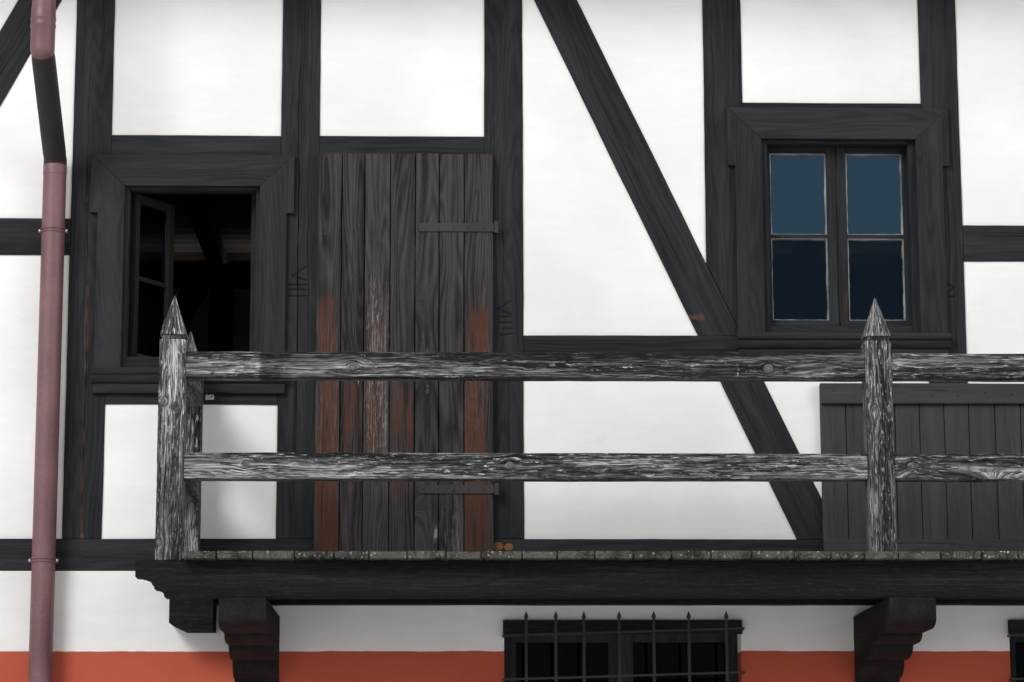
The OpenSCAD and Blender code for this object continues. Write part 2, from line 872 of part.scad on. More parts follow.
// Carved beam end: a plain face over two rounded steps, x inwards from the end
end_face = 74;
end_step = [75, 35];
end_fillet = [9, 17];
end_low = [45, beam_h - end_face - end_step[1] - end_fillet[1]];
end_run = end_step[0] + end_fillet[0] + end_low[0];
function rounded(x, z, r) = [for (a = [0:15:90]) [x + r[0] * sin(a), z - r[1] * (1 - cos(a))]];
module beam_end_area() translate([-beam_end, beam_h]) polygon(concat(
  [[end_run, -beam_h], [end_run, 0], [0, 0]],
  rounded(0, -end_face, end_step),
  [[end_step[0] + end_fillet[0], -end_face - end_step[1]]],
  rounded(end_step[0] + end_fillet[0], -end_face - end_step[1] - end_fillet[1], end_low)
));
module balcony_beams() color(oak) on_front() translate([balcony_x, 0, 0]) {
  translate([0, -balcony_out, beam_bottom]) {
    mirrored() upright(0, beam_t) beam_end_area();
    box(-beam_end + end_run, beam_end - end_run, 0, beam_t, 0, beam_h);
  }
  box(head_x + head_w, -head_x - head_w, -ledger_t, 0, beam_top - ledger_h, beam_top);
  box(-head_x - head_w, -head_x, -head_out, 0, beam_bottom, beam_top);
  upright(-head_out, head_out) polygon([
    [head_x, beam_top], [head_x, head_low + head_cut], [head_x + 2 * head_cut, head_low],
    [head_x + head_w, head_low], [head_x + head_w, beam_top]
  ]);
}

module balcony_deck() color(grey_wood) on_front() translate([balcony_x, 0, 0]) {
  box(-deck_half, deck_half, -balcony_out - deck_lip, 0, beam_top, deck_z);
}

// Stepped corbel: each row is a tier's reach as a share of the balcony's, the height of its
// plain face, and the run and height of its rounded nose
corbel_tiers = [[1, 92, 100, 42], [0.665, 0, 100, 36], [0.425, 0, 150, 54], [0.189, 0, 120, 76]];
corbel_foot = 60;
function tier_drop(i) = i < 0 ? 0 : tier_drop(i - 1) + corbel_tiers[i][1] + corbel_tiers[i][3];
function nose(i) = let(t = corbel_tiers[i], z = beam_bottom - tier_drop(i - 1) - t[1]) [
  for (a = [0:15:90]) [-t[0] * balcony_out + t[2] * (1 - cos(a)), z - t[3] * sin(a)]
];
module corbel() along_x(-corbel_w / 2, corbel_w) {
  foot_z = beam_bottom - tier_drop(len(corbel_tiers) - 1);
  polygon(concat(
    [[0, beam_bottom], [-balcony_out, beam_bottom]],
    [for (i = [0:len(corbel_tiers) - 1]) each nose(i)],
    [[-corbel_foot, foot_z], [0, foot_z - corbel_foot]]
  ));
}
corbel_left = ground_axis - corbel_bay;
module corbels() color(oak) on_front() {
  for (x = [corbel_left, ground_axis, 2 * balcony_x - corbel_left]) translate([x, 0, 0]) corbel();
}

// Railing posts with a neck groove under a pyramid
post_xs = [balcony_x - railing_bay, balcony_x, balcony_x + railing_bay];
cap_z = deck_z + railing_h + cap_over;
rail_back = 6;
back_post_gap = 8;
back_post_out = rail_back;
back_post_y = -sill_out - back_post_gap - railing_w;
neck_h = 22;
neck_in = 9;
module railing_post(foot) {
  w = railing_w;
  box(-w / 2, w / 2, 0, w, foot, cap_z - neck_h);
  box(-w / 2 + neck_in, w / 2 - neck_in, neck_in, w - neck_in, cap_z - neck_h, cap_z);
  translate([0, w / 2, cap_z]) rotate([0, 0, 45]) cylinder(h = cap_h, r1 = w / sqrt(2), r2 = 0, $fn = 4);
}
module railing_posts() color(grey_wood) on_front() {
  for (i = [0, 2]) {
    translate([post_xs[i], -balcony_out, 0]) railing_post(beam_top);
    translate([post_xs[i] + (i - 1) * back_post_out, back_post_y, 0]) railing_post(beam_top);
  }
  translate([post_xs[1], -balcony_out, 0]) railing_post(deck_z);
}

rail_d = railing_w - 2 * rail_back;
module railing_rails() color(grey_wood) on_front() for (top = [railing_h, low_bar_h]) {
  z = deck_z + top;
  for (i = [0, 1]) {
    box(
      post_xs[i] + railing_w / 2, post_xs[i + 1] - railing_w / 2,
      -balcony_out + rail_back, -balcony_out + rail_back + rail_d, z - bar_h, z
    );
  }
  for (i = [0, 2]) {
    box(
      post_xs[i] - rail_d / 2, post_xs[i] + rail_d / 2,
      -balcony_out + railing_w, back_post_y, z - bar_h, z
    );
  }
}

// Roof. The profile is drawn in y-z, from the front eaves to the ridge
function rafter_x(i) = -half_length + timber_d / 2 + i * (2 * half_length - timber_d) / (rafter_pairs - 1);
function roof_z(y) = eaves_z + (y + tie_out) * slope;
module roof_halves() {
  placed() children();
  placed() translate([0, house_depth, 0]) mirror([0, 1, 0]) children();
}
module rafter_area() polygon([
  [-tie_out, eaves_z], [half_depth, ridge_z], [half_depth, ridge_z - rafter_foot * slope],
  [-tie_out + rafter_foot, eaves_z]
]);
module tie_beams() color(oak) placed() for (i = [0:rafter_pairs - 1]) {
  x = rafter_x(i);
  w = (i == 0 || i == rafter_pairs - 1) ? timber_d : rafter_w;
  box(x - w / 2, x + w / 2, -tie_out, house_depth + tie_out, tie_z, eaves_z);
}
loft_t = 30;
loft_gap = 20;
module loft_boards() color(inner_wood) placed() {
  e = timber_d;
  y0 = -tie_out + rafter_foot + loft_gap;
  box(-half_length + e, half_length - e, y0, house_depth - y0, eaves_z, eaves_z + loft_t);
}
module rafters() color(oak) roof_halves() {
  for (i = [0:rafter_pairs - 1]) {
    w = (i == 0 || i == rafter_pairs - 1) ? timber_d : rafter_w;
    along_x(rafter_x(i) - w / 2, w) rafter_area();
  }
  mirrored() along_x(half_length + verge_out - rafter_w, rafter_w) rafter_area();
}

// Collars between the rafters, level with the middle purlins
collar_h = 140;
collar_w = 60;
purlin_w = 160;
purlin_h = 200;
purlin_y = 2050;
function under(y) = roof_z(y) - rafter_foot * slope;
collar_z = under(purlin_y - purlin_w / 2) - purlin_h - collar_h;
module collar_beams() color(oak) placed() for (i = [1:rafter_pairs - 2]) {
  x = rafter_x(i);
  y0 = (collar_z + collar_h - under(0)) / slope;
  along_x(x - collar_w / 2, collar_w) polygon([
    [y0 - collar_h / slope, collar_z], [house_depth - y0 + collar_h / slope, collar_z],
    [house_depth - y0, collar_z + collar_h], [y0, collar_z + collar_h]
  ]);
}
module purlin_area(extra = 0) {
  y0 = purlin_y - purlin_w / 2;
  y1 = purlin_y + purlin_w / 2;
  polygon([
    [y0, under(y0) - purlin_h], [y1, under(y0) - purlin_h], [y1, under(y1) + extra], [y0, under(y0) + extra]
  ]);
}
module ridge_purlin_area(extra = 0) {
  y0 = half_depth - purlin_w / 2;
  y1 = half_depth + purlin_w / 2;
  polygon([
    [y0, under(y0) - purlin_h], [y1, under(y0) - purlin_h], [y1, under(y0) + extra],
    [half_depth, under(half_depth) + extra], [y0, under(y0) + extra]
  ]);
}
purlin_x = half_length + verge_out;
module purlins() color(oak) {
  roof_halves() along_x(-purlin_x, 2 * purlin_x) purlin_area();
  placed() along_x(-purlin_x, 2 * purlin_x) ridge_purlin_area();
}

// Gable walls, drawn in y-z under the gable rafters
gable_posts = [-2.5, -1.5, -0.5, 0.5, 1.5, 2.5];
gable_rail_up = 1150;
gable_rail_z = eaves_z + gable_rail_up;
gable_window_h = 760;
hole_over = 40;
module gable_field() polygon([
  [-tie_out + rafter_foot, eaves_z], [house_depth + tie_out - rafter_foot, eaves_z],
  [half_depth, under(half_depth)]
]);
module purlin_holes() {
  purlin_area(hole_over);
  translate([house_depth, 0]) mirror([1, 0]) purlin_area(hole_over);
  ridge_purlin_area(hole_over);
}
module gable_post_areas() intersection() {
  gable_field();
  for (k = gable_posts) area(
    half_depth + k * side_step - half_post, half_depth + k * side_step + half_post, eaves_z, ridge_z
  );
}
module gable_rail_areas() difference() {
  intersection() {
    gable_field();
    union() {
      area(0, house_depth, gable_rail_z, gable_rail_z + rail_h);
      area(
        0, house_depth, gable_rail_z + rail_h + gable_window_h, gable_rail_z + 2 * rail_h + gable_window_h
      );
    }
  }
  gable_post_areas();
}
module gable_timber_areas() difference() {
  union() {
    gable_post_areas();
    gable_rail_areas();
  }
  purlin_holes();
}
module gable_window_area() area(
  half_depth - side_step / 2 + half_post, half_depth + side_step / 2 - half_post,
  gable_rail_z + rail_h, gable_rail_z + rail_h + gable_window_h
);
module gable_panel_areas() difference() {
  gable_field();
  gable_timber_areas();
  purlin_holes();
  gable_window_area();
}
module gable_timbers() color(oak) at_gable_depth(0, timber_d) gable_timber_areas();
module gable_panels() color(plaster) at_gable_depth(panel_back, panel_t) gable_panel_areas();

// Battens and tiles as one slab per side, and the ridge row
cover_past = 90;
cover_out = tie_out + cover_past;
verge_past = 60;
cover_x = half_length + verge_out + verge_past;
cover_v = cover_t / cos(pitch);
module cover_area() polygon([
  [-cover_out, roof_z(-cover_out)], [half_depth, ridge_z], [half_depth, ridge_z + cover_v],
  [-cover_out - cover_t * sin(pitch), roof_z(-cover_out) + cover_t * cos(pitch)]
]);
module roof_covering() color(tile_red) roof_halves() along_x(-cover_x, 2 * cover_x) cover_area();

ridge_r = 130;
ridge_t = 20;
ridge_sink = 60;
module ridge_tiles() color(tile_red) placed() along_x(-cover_x, 2 * cover_x) {
  translate([half_depth, ridge_z + cover_v - ridge_sink]) difference() {
    circle(ridge_r);
    circle(ridge_r - ridge_t);
    translate([0, ridge_sink]) polygon([
      [0, 0], [-3 * ridge_r, -3 * ridge_r * slope], [3 * ridge_r, -3 * ridge_r * slope]
    ]);
  }
}

verge_board_h = 200;
fascia_under = 20;
module roof_edge_boards() color(oak) roof_halves() {
  box(
    -purlin_x, purlin_x, -tie_out - board_thick, -tie_out,
    tie_z - fascia_under, roof_z(-tie_out - board_thick)
  );
  mirrored() along_x(purlin_x, board_thick) polygon([
    [-tie_out, eaves_z], [half_depth, ridge_z], [half_depth, ridge_z - verge_board_h / cos(pitch)],
    [-tie_out, eaves_z - verge_board_h / cos(pitch)]
  ]);
}

gutter_gap = 20;
gutter_z = roof_z(-cover_out) - gutter_gap;
gutter_t = 4;
module gutters() color(pipe_pink) roof_halves() along_x(-purlin_x, 2 * purlin_x) {
  translate([-gutter_y, gutter_z]) difference() {
    circle(gutter_r);
    circle(gutter_r - gutter_t);
    translate([-2 * gutter_r, 0]) square([4 * gutter_r, 2 * gutter_r]);
  }
}

// Downpipe with a swan neck, two clips and a shoe at the foot
pipe_gap = 70;
pipe_x = x_window + half_post + pipe_gap;
pipe_y = -90;
neck_drop = 960;
neck_fall = 405;
neck_top = eaves_z - neck_drop;
neck_bottom = neck_top - neck_fall;
shoe_z = 150;
shoe_run = [90, 80];
clip_t = 28;
clip_out = 5;
clip_arm = [24, 20];
pipe_clips = [neck_bottom - 354, ground_h + 77, 900];
bead_z = [110, 144];
bead_h = 14;
bead_out = 3;
pipe_r = pipe_d / 2;
module downpipe() {
  translate([0, -gutter_y, neck_top]) {
    cylinder(h = gutter_z - gutter_r - neck_top, r = pipe_r);
    sphere(pipe_r);
    for (z = bead_z) translate([0, 0, z]) cylinder(h = bead_h, r = pipe_r + bead_out);
  }
  hull() {
    translate([0, -gutter_y, neck_top]) sphere(pipe_r);
    translate([0, pipe_y, neck_bottom]) sphere(pipe_r);
  }
  translate([0, pipe_y, shoe_z]) cylinder(h = neck_bottom - shoe_z, r = pipe_r);
  hull() {
    translate([0, pipe_y, shoe_z]) sphere(pipe_r);
    translate([0, pipe_y - shoe_run[0], shoe_z - shoe_run[1]]) sphere(pipe_r);
  }
  for (z = pipe_clips) translate([0, pipe_y, z]) {
    translate([0, 0, -clip_t / 2]) cylinder(h = clip_t, r = pipe_r + clip_out);
    box(-clip_arm[0] / 2, clip_arm[0] / 2, 0, -pipe_y, -clip_arm[1] / 2, clip_arm[1] / 2);
  }
}
module downpipes() color(pipe_pink) {
  on_front() translate([-pipe_x, 0, 0]) downpipe();
  on_back() translate([-pipe_x, 0, 0]) downpipe();
}

ground_slab();
ground_walls();
ground_window_frames();
ground_window_glass();
window_grilles();
lintel_boards();
entrance_frame();
entrance_door();
floor_joists();
floor_boards();
wall_sills();
front_posts();
front_rails();
front_braces();
front_panels();
rear_posts();
rear_rails();
rear_braces();
rear_panels();
wall_plates();
tie_beams();
loft_boards();
rafters();
collar_beams();
purlins();
gable_timbers();
gable_panels();
roof_covering();
ridge_tiles();
roof_edge_boards();
gutters();
downpipes();
window_surrounds();
window_frames();
open_window_frame();
window_sashes();
window_glass();
balcony_door();
door_hinges();
boarded_screen();
corbels();
balcony_beams();
balcony_deck();
railing_posts();
railing_rails();
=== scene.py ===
# %% [markdown]
# # A half-timbered house, seen from below its balcony
#
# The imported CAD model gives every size. This lesson dresses it: hewn timbers with
# drying splits, hand-laid lime plaster, weathered railings, windows with putty,
# boards, planks and roof tiles. Each cell builds one piece or one finish.

# %% Load the frame
import itertools
import math

import bmesh
import bpy
import numpy as np
from mathutils import Matrix, Vector


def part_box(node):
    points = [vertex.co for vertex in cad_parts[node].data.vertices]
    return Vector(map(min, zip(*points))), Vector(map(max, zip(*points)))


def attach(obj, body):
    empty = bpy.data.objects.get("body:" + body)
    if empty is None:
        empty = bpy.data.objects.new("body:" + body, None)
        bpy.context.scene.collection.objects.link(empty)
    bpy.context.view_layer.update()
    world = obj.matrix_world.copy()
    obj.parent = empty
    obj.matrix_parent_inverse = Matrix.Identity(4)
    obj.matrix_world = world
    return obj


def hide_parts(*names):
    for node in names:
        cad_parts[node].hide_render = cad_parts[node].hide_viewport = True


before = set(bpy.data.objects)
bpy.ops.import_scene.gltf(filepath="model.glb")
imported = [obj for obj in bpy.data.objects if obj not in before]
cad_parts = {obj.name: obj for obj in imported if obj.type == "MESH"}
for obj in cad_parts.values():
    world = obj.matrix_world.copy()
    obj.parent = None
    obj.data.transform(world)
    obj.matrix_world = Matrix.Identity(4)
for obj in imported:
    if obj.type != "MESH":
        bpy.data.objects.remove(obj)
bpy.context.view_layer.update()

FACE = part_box("front_posts")[0].y

# %% [markdown]
# The camera stands in front of the house at eye height and looks up with a long
# lens, a little to the right. Its place was worked out from the converging edges
# of the photograph, so posts, rails and deck edge fall where they do there.

# %% Camera
EYE_HEIGHT, DISTANCE = 1.600, 12.95
EYE = Vector((-1.9417, FACE - DISTANCE, EYE_HEIGHT))
TURN, TILT, ROLL = math.radians(1.54), math.radians(10.47), math.radians(-0.137)
FOCAL_PIXELS, PHOTO_WIDTH, SENSOR = 2700, 1024, 36


def aim(turn, tilt, roll):
    """Rotation of a camera that looks along +Y, turned right, tilted up and rolled."""
    ahead = Vector((math.sin(turn) * math.cos(tilt), math.cos(turn) * math.cos(tilt), math.sin(tilt)))
    right = Vector((math.cos(turn), -math.sin(turn), 0))
    up = right.cross(ahead)
    side = math.cos(roll) * right + math.sin(roll) * up
    top = -math.sin(roll) * right + math.cos(roll) * up
    return Matrix((side, top, -ahead)).transposed()


camera = bpy.data.objects.new("camera", bpy.data.cameras.new("camera"))
camera.data.sensor_width = SENSOR
camera.data.lens = SENSOR * FOCAL_PIXELS / PHOTO_WIDTH
camera.data.clip_end = 200
camera.matrix_world = Matrix.Translation(EYE) @ aim(TURN, TILT, ROLL).to_4x4()
bpy.context.scene.collection.objects.link(camera)
bpy.context.scene.camera = camera
bpy.context.scene.view_settings.view_transform = "Standard"
print("camera at", [round(c, 3) for c in EYE], "lens", round(camera.data.lens, 2), "mm")

# %% [markdown]
# Three big soft lamps and a pale world light the house evenly. The key lamp stands
# high on the left, so grooves and mouldings still read. The floor is a plain pale
# disc, which isn't part of the house.

# %% Light and floor
def area_lamp(name, place, target, size, power):
    lamp = bpy.data.objects.new(name, bpy.data.lights.new(name, "AREA"))
    lamp.data.shape = "SQUARE"
    lamp.data.size = size
    lamp.data.energy = power
    lamp.location = place
    lamp.rotation_euler = (Vector(target) - Vector(place)).to_track_quat("-Z", "Y").to_euler()
    bpy.context.scene.collection.objects.link(lamp)


area_lamp("key_lamp", (-14, -22, 17), (-1, -3, 4), 9, 4300)
area_lamp("fill_lamp", (16, -20, 9), (0, -3, 4), 12, 1500)
area_lamp("back_lamp", (6, 22, 16), (0, 0, 4), 12, 3000)
world = bpy.data.worlds.new("studio")
bpy.context.scene.world = world
world.use_nodes = True
world_nodes, world_links = world.node_tree.nodes, world.node_tree.links
sky_rays = world_nodes.new("ShaderNodeLightPath")
sky_mix = world_nodes.new("ShaderNodeMix")
sky_mix.data_type = "RGBA"
sky_mix.inputs["A"].default_value = (0.50, 0.50, 0.50, 1)
sky_mix.inputs["B"].default_value = (0.92, 0.93, 0.94, 1)
seen = sky_rays.outputs["Is Camera Ray"]
for ray in ("Is Glossy Ray", "Is Transmission Ray"):
    either = world_nodes.new("ShaderNodeMath")
    either.operation = "MAXIMUM"
    world_links.new(seen, either.inputs[0])
    world_links.new(sky_rays.outputs[ray], either.inputs[1])
    seen = either.outputs[0]
world_links.new(seen, sky_mix.inputs["Factor"])
world_links.new(sky_mix.outputs["Result"], world_nodes["Background"].inputs["Color"])

FLOOR_R, FLOOR_SIDES, FLOOR_Z = 60, 64, -0.002
bearings = np.linspace(0, 2 * math.pi, FLOOR_SIDES, False)
floor_mesh = bpy.data.meshes.new("studio_floor")
rim = [(FLOOR_R * math.cos(a), FLOOR_R * math.sin(a), FLOOR_Z) for a in bearings]
floor_mesh.from_pydata(rim, [], [tuple(range(FLOOR_SIDES))])
studio_floor = bpy.data.objects.new("studio_floor", floor_mesh)
bpy.context.scene.collection.objects.link(studio_floor)
floor_paint = bpy.data.materials.new("studio_floor")
floor_paint.use_nodes = True
floor_shader = floor_paint.node_tree.nodes["Principled BSDF"].inputs
floor_shader["Base Color"].default_value = (0.72, 0.72, 0.72, 1)
floor_shader["Roughness"].default_value = 0.9
floor_mesh.materials.append(floor_paint)

# %% [markdown]
# Everything that repeats an effect is a node group: split and fibrous wood grain,
# lime wash, and moss with lichen. The small Graph helper below keeps the wiring
# readable: each call adds one node, and returns its first output.

# %% A helper for node trees
class Graph:
    """Adds nodes to a tree, with inputs given as numbers, colours or sockets."""

    def __init__(self, tree):
        self.tree = tree

    def set(self, socket, value):
        if isinstance(value, bpy.types.NodeSocket):
            self.tree.links.new(value, socket)
        else:
            socket.default_value = value

    def add(self, kind, inputs=(), **settings):
        node = self.tree.nodes.new("ShaderNode" + kind)
        for key, value in settings.items():
            setattr(node, key, value)
        for key, value in dict(inputs).items():
            self.set(node.inputs[key], value)
        return node

    def math(self, operation, *values, clamp=False):
        node = self.add("Math", enumerate(values), operation=operation, use_clamp=clamp)
        return node.outputs[0]

    def times(self, *values, clamp=False):
        return self.math("MULTIPLY", *values, clamp=clamp)

    def plus(self, *values, clamp=False):
        return self.math("ADD", *values, clamp=clamp)

    def minus(self, *values):
        return self.math("SUBTRACT", *values)

    def scale(self, vector, factors):
        node = self.add("VectorMath", {0: vector, 1: factors}, operation="MULTIPLY")
        return node.outputs[0]

    def noise(self, vector, size, detail=3, rough=0.55):
        node = self.add("TexNoise", {"Vector": vector, "Scale": size, "Detail": detail, "Roughness": rough})
        return node.outputs["Fac"]

    def spread(self, value, low, high, to_low=0.0, to_high=1.0):
        node = self.add("MapRange", {0: value, 1: low, 2: high, 3: to_low, 4: to_high})
        return node.outputs[0]

    def mix(self, factor, a, b):
        node = self.add("Mix", {"Factor": factor}, data_type="RGBA")
        self.set(node.inputs["A"], a)
        self.set(node.inputs["B"], b)
        return node.outputs["Result"]

    def shade(self, value, dark, light):
        return self.mix(value, (*dark, 1), (*light, 1))

    def spot(self):
        """Place on the object, in metres."""
        return self.add("TexCoord").outputs["Object"]

    def part(self, vector, k):
        return self.add("SeparateXYZ", {0: vector}).outputs[k]

    def bump(self, height, strength, distance):
        """Normal of a relief with this strength, and this depth in metres."""
        node = self.add("Bump", {"Height": height, "Strength": strength, "Distance": distance})
        return node.outputs[0]

    def place(self, group, **inputs):
        node = self.add("Group", node_tree=group)
        for key, value in inputs.items():
            self.set(node.inputs[key.replace("_", " ")], value)
        return node.outputs


def new_group(name, inputs, outputs):
    """A shader node group with named sockets; inputs are (name, kind, default)."""
    group = bpy.data.node_groups.new(name, "ShaderNodeTree")
    for socket, kind, default in inputs:
        made = group.interface.new_socket(socket, in_out="INPUT", socket_type="NodeSocket" + kind)
        if default is not None:
            made.default_value = default
    for socket, kind in outputs:
        group.interface.new_socket(socket, in_out="OUTPUT", socket_type="NodeSocket" + kind)
    g = Graph(group)
    source, sink = group.nodes.new("NodeGroupInput"), group.nodes.new("NodeGroupOutput")
    return group, g, source.outputs, sink.inputs


# %% [markdown]
# Sawn and hewn wood shows three things at once: fine fibres, growth rings cut at a
# slant, and drying splits that follow the grain. Each timber carries its own grain
# coordinates, long axis first, so the pattern runs along posts, rails and braces.

# %% Node group: timber grain
timber_grain, g, gi, go = new_group(
    "Timber Grain",
    [("Grain", "Vector", None), ("Ring Density", "Float", 70.0), ("Split Amount", "Float", 0.5)],
    [(name, "Float") for name in ("Fibre", "Rings", "Streaks", "Flakes", "Splits", "Height")],
)
long_fibre = g.noise(g.scale(gi["Grain"], (3.5, 170, 170)), 1, 4, 0.6)
short_fibre = g.noise(g.scale(gi["Grain"], (16, 230, 230)), 1, 3, 0.6)
fibre = g.spread(g.plus(g.times(long_fibre, 0.55), g.times(short_fibre, 0.45)), 0.36, 0.64)
streaks = g.spread(g.noise(g.scale(gi["Grain"], (0.8, 13, 13)), 1, 5, 0.6), 0.34, 0.66)
drift = g.noise(g.scale(gi["Grain"], (0.55, 5.5, 5.5)), 1, 2, 0.5)
across = g.part(gi["Grain"], 1)
turns = g.plus(g.times(drift, 60), g.times(across, gi["Ring Density"]))
rings = g.math("MULTIPLY_ADD", g.math("SINE", g.times(turns, 2.2)), 0.5, 0.5)
wander = g.noise(g.scale(gi["Grain"], (1.0, 24, 24)), 1, 3, 0.5)
near = g.math("ABSOLUTE", g.minus(wander, 0.5))
line = g.spread(near, 0.0060, 0.0010, 0.0, 1.0)
flakes = g.spread(g.noise(g.scale(gi["Grain"], (20, 140, 140)), 1, 4, 0.7), 0.57, 0.64)
patch = g.noise(g.scale(gi["Grain"], (0.9, 7, 7)), 1, 2, 0.5)
where = g.spread(patch, g.minus(0.72, g.times(gi["Split Amount"], 0.3)), 0.75)
splits = g.times(line, where, clamp=True)
fine_wander = g.noise(g.scale(gi["Grain"], (4.5, 80, 80)), 1, 3, 0.55)
fine_line = g.spread(g.math("ABSOLUTE", g.minus(fine_wander, 0.5)), 0.034, 0.006, 0.0, 0.85)
splits = g.math("MAXIMUM", splits, g.times(fine_line, g.spread(gi["Split Amount"], 0.6, 0.8)))
relief = g.plus(g.times(fibre, 0.35), g.times(rings, 0.25))
height = g.minus(relief, g.times(splits, 1.6))
for name, value in (("Fibre", fibre), ("Rings", rings), ("Streaks", streaks), ("Flakes", flakes),
                    ("Splits", splits), ("Height", height)):
    g.set(go[name], value)
made_outputs = [s.name for s in timber_grain.interface.items_tree if s.in_out == "OUTPUT"]
print(timber_grain.name, "puts out", made_outputs)

# %% [markdown]
# Lime wash is brushed on in thin coats over a hand-floated coat. It is never quite
# even: broad cloudy tones, brush drag, a few pits and hairline cracks.

# %% Node group: lime wash
lime_wash, g, gi, go = new_group(
    "Lime Wash", [("Place", "Vector", None)], [("Tone", "Float"), ("Hairline", "Float"), ("Height", "Float")]
)
cloud = g.noise(gi["Place"], 1.3, 4, 0.55)
drag = g.noise(g.scale(gi["Place"], (5, 5, 26)), 1, 4, 0.6)
grit = g.noise(gi["Place"], 95, 3, 0.6)
floated = g.noise(gi["Place"], 11, 3, 0.5)
tone = g.plus(g.times(cloud, 0.8), g.times(drag, 0.2))
g.set(go["Tone"], g.spread(tone, 0.35, 0.65))
wander = g.add("TexNoise", {"Vector": gi["Place"], "Scale": 5.0, "Detail": 4.0}).outputs["Color"]
wander = g.scale(wander, (0.3, 0.3, 0.3))
crooked = g.add("VectorMath", {0: gi["Place"], 1: wander}, operation="ADD").outputs[0]
cell = g.add("TexVoronoi", {"Vector": crooked, "Scale": 2.3}, feature="DISTANCE_TO_EDGE")
thin = g.spread(cell.outputs["Distance"], 0.004, 0.0)
rare = g.spread(g.noise(gi["Place"], 2.2, 3), 0.58, 0.68)
g.set(go["Hairline"], g.times(g.times(thin, rare), 0.3))
bumps = g.plus(floated, g.times(grit, 0.12))
g.set(go["Height"], g.plus(bumps, g.times(drag, 0.25)))
print(lime_wash.name, "ready")

# %% [markdown]
# Wood and tiles that stay wet grow dark moss in patches, and small pale spots of
# lichen. Both sit mostly on faces that look upwards.

# %% Node group: damp growth
damp_growth, g, gi, go = new_group(
    "Damp Growth",
    [("Place", "Vector", None), ("Moss Amount", "Float", 0.4), ("Lichen Amount", "Float", 0.4)],
    [("Moss", "Float"), ("Lichen", "Float")],
)
facing = g.part(g.add("NewGeometry").outputs["Normal"], 2)
upward = g.spread(facing, -0.4, 0.9, 0.25, 1.0)
mossy = g.noise(gi["Place"], 9, 5, 0.65)
moss_edge = g.minus(0.75, g.times(gi["Moss Amount"], 0.35))
g.set(go["Moss"], g.times(g.spread(mossy, moss_edge, 0.78), upward, clamp=True))
spot = g.add("TexVoronoi", {"Vector": gi["Place"], "Scale": 58.0, "Randomness": 1.0})
small = g.spread(spot.outputs["Distance"], 0.34, 0.22)
some = g.spread(g.add("SeparateColor", {0: spot.outputs["Color"]}).outputs[0], 0.50, 0.54)
patchy = g.spread(g.noise(gi["Place"], 3.2, 3), g.minus(0.70, g.times(gi["Lichen Amount"], 0.35)), 0.72)
g.set(go["Lichen"], g.times(g.times(small, some), g.times(patchy, upward), clamp=True))
print(damp_growth.name, "ready")

# %% [markdown]
# One recipe makes all the wood: a dark and a light tone mixed by streaks, fibres
# and rings, black splits, brown where wear has gone through the stain, and knots.
# The pieces bring the facts with them as attributes: grain direction, tone of the
# board, splits that are really cut into the mesh, knots and wear.

# %% Wood materials
def attribute(g, name, output="Fac"):
    return g.add("Attribute", attribute_name=name).outputs[output]


def principled(name):
    material = bpy.data.materials.new(name)
    material.use_nodes = True
    g = Graph(material.node_tree)
    return material, g, material.node_tree.nodes["Principled BSDF"].inputs


def wood(name, dark, light, worn, split=0.5, ring_tone=0.25, rough=(0.62, 0.9), moss=0.0, lichen=0.0,
         bleach=None, floor=0.25, bump=0.6, contrast=1.0,
         knots=((0.030, 0.020, 0.014), (0.13, 0.085, 0.055))):
    material, g, shader = principled(name)
    grain = attribute(g, "grain", "Vector")
    out = g.place(timber_grain, Grain=grain, Split_Amount=split)
    tone = attribute(g, "tone")
    mixed = g.plus(g.times(out["Streaks"], 0.5), g.times(out["Fibre"], 0.5 - ring_tone / 2))
    mixed = g.plus(mixed, g.times(out["Rings"], ring_tone))
    mixed = g.plus(mixed, g.times(g.minus(tone, 0.5), 0.6))
    mixed = g.spread(mixed, 0.5 - 0.5 / contrast, 0.5 + 0.5 / contrast)
    colour = g.shade(mixed, dark, light)
    wear = attribute(g, "worn")
    rubbed = g.spread(g.plus(g.times(out["Streaks"], 0.55), wear), 0.75, 1.15)
    rubbed = g.times(rubbed, g.spread(wear, 0.0, 0.15))
    colour = g.mix(rubbed, colour, g.shade(out["Fibre"], tuple(0.55 * c for c in worn), worn))
    if bleach:
        faded = attribute(g, "bleached")
        pale = g.spread(g.times(out["Fibre"], g.plus(out["Streaks"], 0.35)), 0.45, 1.0)
        pale = g.times(g.math("MAXIMUM", pale, out["Flakes"]), g.spread(faded, 0.0, 1.0, floor, 1.0))
        pale = g.plus(pale, g.spread(faded, 1.2, 1.8), clamp=True)
        colour = g.mix(pale, colour, (*bleach, 1))
    knot = attribute(g, "knot")
    knot_rings = g.math("MULTIPLY_ADD", g.math("SINE", g.times(knot, 34)), 0.5, 0.5)
    knot_colour = g.shade(knot_rings, *knots)
    colour = g.mix(g.spread(knot, 0.45, 0.6), colour, knot_colour)
    bark = g.times(g.spread(knot, 0.18, 0.34), g.spread(knot, 0.55, 0.42, 0.0, 0.5))
    colour = g.mix(bark, colour, (0.012, 0.010, 0.009, 1))
    checks = g.math("MAXIMUM", out["Splits"], g.spread(attribute(g, "check"), 0.25, 0.8))
    colour = g.mix(g.times(checks, 0.92), colour, (0.006, 0.006, 0.007, 1))
    if moss or lichen:
        place = g.spot()
        growth = g.place(damp_growth, Place=place, Moss_Amount=moss, Lichen_Amount=lichen)
        colour = g.mix(g.times(growth["Moss"], 0.8), colour, (0.030, 0.036, 0.016, 1))
        colour = g.mix(growth["Lichen"], colour, (0.62, 0.64, 0.58, 1))
    g.set(shader["Base Color"], colour)
    g.set(shader["Roughness"], g.spread(out["Fibre"], 0, 1, *rough))
    shader["Specular IOR Level"].default_value = 0.2
    g.set(shader["Normal"], g.bump(out["Height"], bump, 0.004))
    return material


